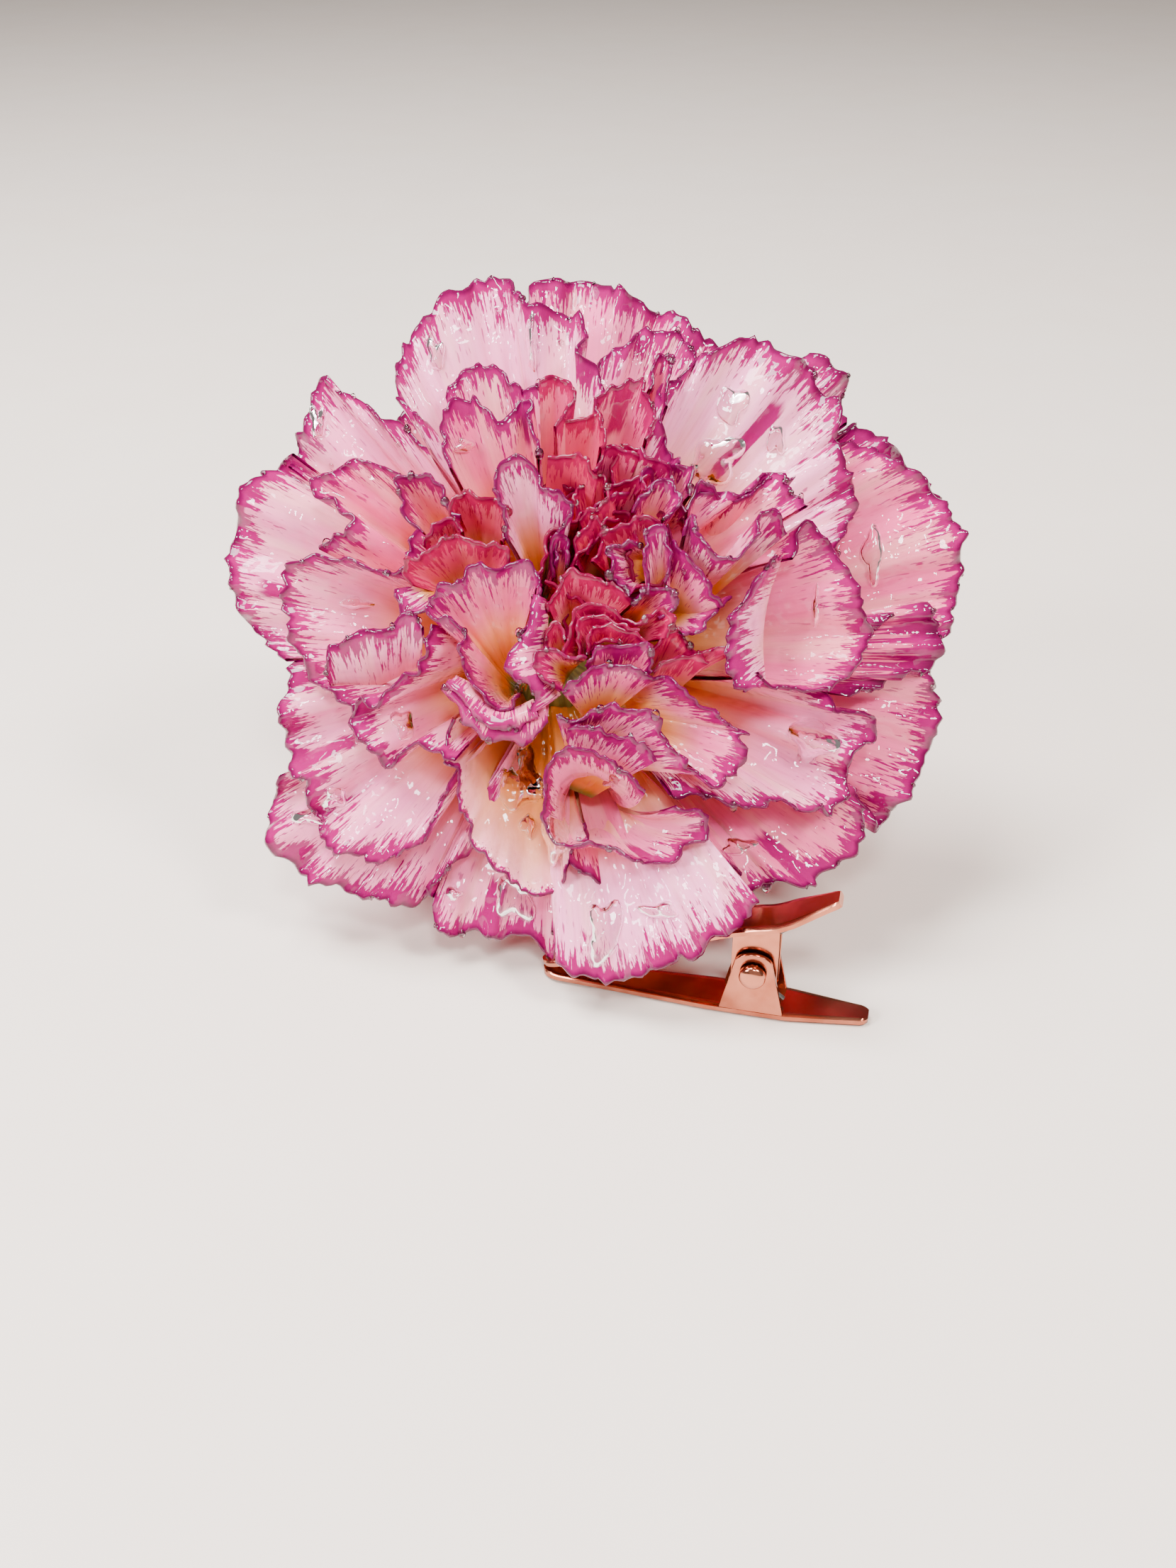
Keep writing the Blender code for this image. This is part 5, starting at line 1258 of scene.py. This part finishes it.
def film_heights(tree, flat):
    """How far toward the viewer the petals stand under each point, without deep gaps."""
    heights = np.full(flat.shape[:2], np.nan)
    for index in np.ndindex(*heights.shape):
        across, up = flat[index]
        hit = tree.ray_cast(Vector((across, up, FILM_SIGHT)), Vector((0, 0, -1)))[0]
        if hit is not None:
            heights[index] = hit.z
    level = np.nanmedian(heights)
    heights = np.where(np.isnan(heights), level, heights)
    return np.clip(heights, level - FILM_DRAPE, level + FILM_DRAPE)


def smoothed(heights):
    """Heights of a ring-by-ring grid, each drawn towards its neighbours."""
    smooth = heights.copy()
    for _ in range(FILM_SMOOTHINGS):
        around = (np.roll(smooth[:, :-1], 1, axis=1) + np.roll(smooth[:, :-1], -1, axis=1)) / 2
        around = np.concatenate([around, around[:, :1]], axis=1)
        inner = np.vstack([smooth[1:2], smooth[:-1]])
        outer = np.vstack([smooth[1:], smooth[-1:]])
        smooth = 0.5 * smooth + 0.25 * around + 0.125 * inner + 0.125 * outer
    return smooth


def resin_film(draw, tree, centre, size, thickness):
    """Grid of a puddle draped over the petals round a place of the face: front, then back."""
    turn = np.linspace(0, 2 * math.pi, FILM_SEGMENTS + 1)
    lobes = [draw.uniform(0, 2 * math.pi) for _ in range(3)]
    outline = 1 + sum(FILM_LOBE * np.sin((k + 2) * turn + lobe) for k, lobe in enumerate(lobes))
    share = np.linspace(0, 1, FILM_RINGS + 1)[:, None]
    flat = np.stack([centre[0] + size[0] * share * outline * np.cos(turn),
                     centre[1] + size[1] * share * outline * np.sin(turn)], axis=-1)
    heights = film_heights(tree, flat)
    dome = FILM_DOME * thickness * (1 - share ** 2) ** 0.8 - FILM_SINK * share ** 8
    level = np.maximum(smoothed(heights), heights) * (1 - share ** 2) + heights * share ** 2
    front = np.dstack([flat, level + dome + FILM_SKIN])
    back = np.dstack([flat, heights - FILM_SKIN])
    return np.concatenate([front, back[::-1]])


def add_films(finish, grids):
    """Clear puddles, runs and the bubble of resin that lie on the petals."""
    draw = random.Random(23)
    tree = petal_tree(grids)
    puddles = [to_world(resin_film(draw, tree, *film)) for film in FILMS]
    films = mesh_object("resin_films", *joined_grids(puddles))
    dress(films, finish, "bloom_side")


def add_beads(finish, grids):
    """Small beads of resin along the rims and on the petals."""
    draw = random.Random(5)
    shape = bmesh.new()
    names = [name for name in grids if not name.startswith(("guard", "prop", "filler"))]
    for _ in range(BEAD_COUNT):
        grid = grids[draw.choice(names)]
        on_rim = draw.random() < BEADS_ON_RIMS
        row = -1 if on_rim else draw.randrange(grid.shape[0] * 2 // 3, grid.shape[0])
        spot = grid[row, draw.randrange(grid.shape[1])] + np.array((0, 0, BEAD_RISE))
        radius = draw.choice(BEAD_RADII)
        place = Matrix.Translation(Vector(to_world(spot)))
        turn = Matrix.Rotation(draw.uniform(0, math.pi), 4, "Z")
        flat = Matrix.Diagonal((1.0, draw.uniform(0.7, 1.0), draw.uniform(0.75, 1.5), 1.0))
        bmesh.ops.create_icosphere(shape, subdivisions=3, radius=radius * MM,
                                   matrix=place @ turn @ flat)
    beads = edited_object("resin_beads", shape, bpy.data.meshes.new("resin_beads"))
    dress(beads, finish, "bloom_side")


# Scene

def add_floor():
    """Plain pale floor."""
    bpy.ops.mesh.primitive_plane_add(size=3.0, location=(0, 0, -0.0002))
    floor = bpy.context.object
    floor.name = "floor"
    floor.data.materials.append(plain_floor())


def add_light(name, place, size, power, tone):
    """Square soft light aimed at the bloom."""
    lamp = bpy.data.lights.new(name, "AREA")
    lamp.size = size
    lamp.energy = power
    lamp.color = colour(tone)[:3]
    holder = new_object(name, lamp)
    holder.location = place
    aim = Vector(LIGHT_TARGET) - Vector(place)
    holder.rotation_euler = aim.to_track_quat("-Z", "Y").to_euler()


def add_lights():
    """Windows, a lamp, a warm fill and an even surround."""
    for name, (place, size, power, tone) in LIGHTS.items():
        add_light(name, place, size, power, tone)
    world = bpy.data.worlds.new("surround")
    world.use_nodes = True
    sky = world.node_tree.nodes["Background"]
    sky.inputs[0].default_value = colour(SURROUND_TONE)
    sky.inputs[1].default_value = SURROUND_STRENGTH
    bpy.context.scene.world = world


def add_camera():
    """The photograph's view: from in front and above."""
    view = bpy.data.cameras.new("camera")
    view.lens = CAMERA_LENS
    view.clip_start = 0.01
    camera = new_object("camera", view)
    camera.location = CAMERA_PLACE
    camera.rotation_euler = (CAMERA_TILT, 0, 0)
    bpy.context.scene.camera = camera


def build():
    """Every piece, then the floor, the light and the camera."""
    petal = picotee_petal()
    resin = clear_resin()
    metal = rose_gold_plate()
    grids = add_bloom(petal)
    calyx = green_calyx()
    add_calyx(calyx)
    add_core(calyx)
    add_base_jaw(metal)
    add_top_jaw(metal)
    add_pin(metal)
    add_spring(spring_wire())
    add_resin_bed(resin)
    add_films(resin, grids)
    add_beads(resin, grids)
    add_floor()
    add_lights()
    add_camera()


build()
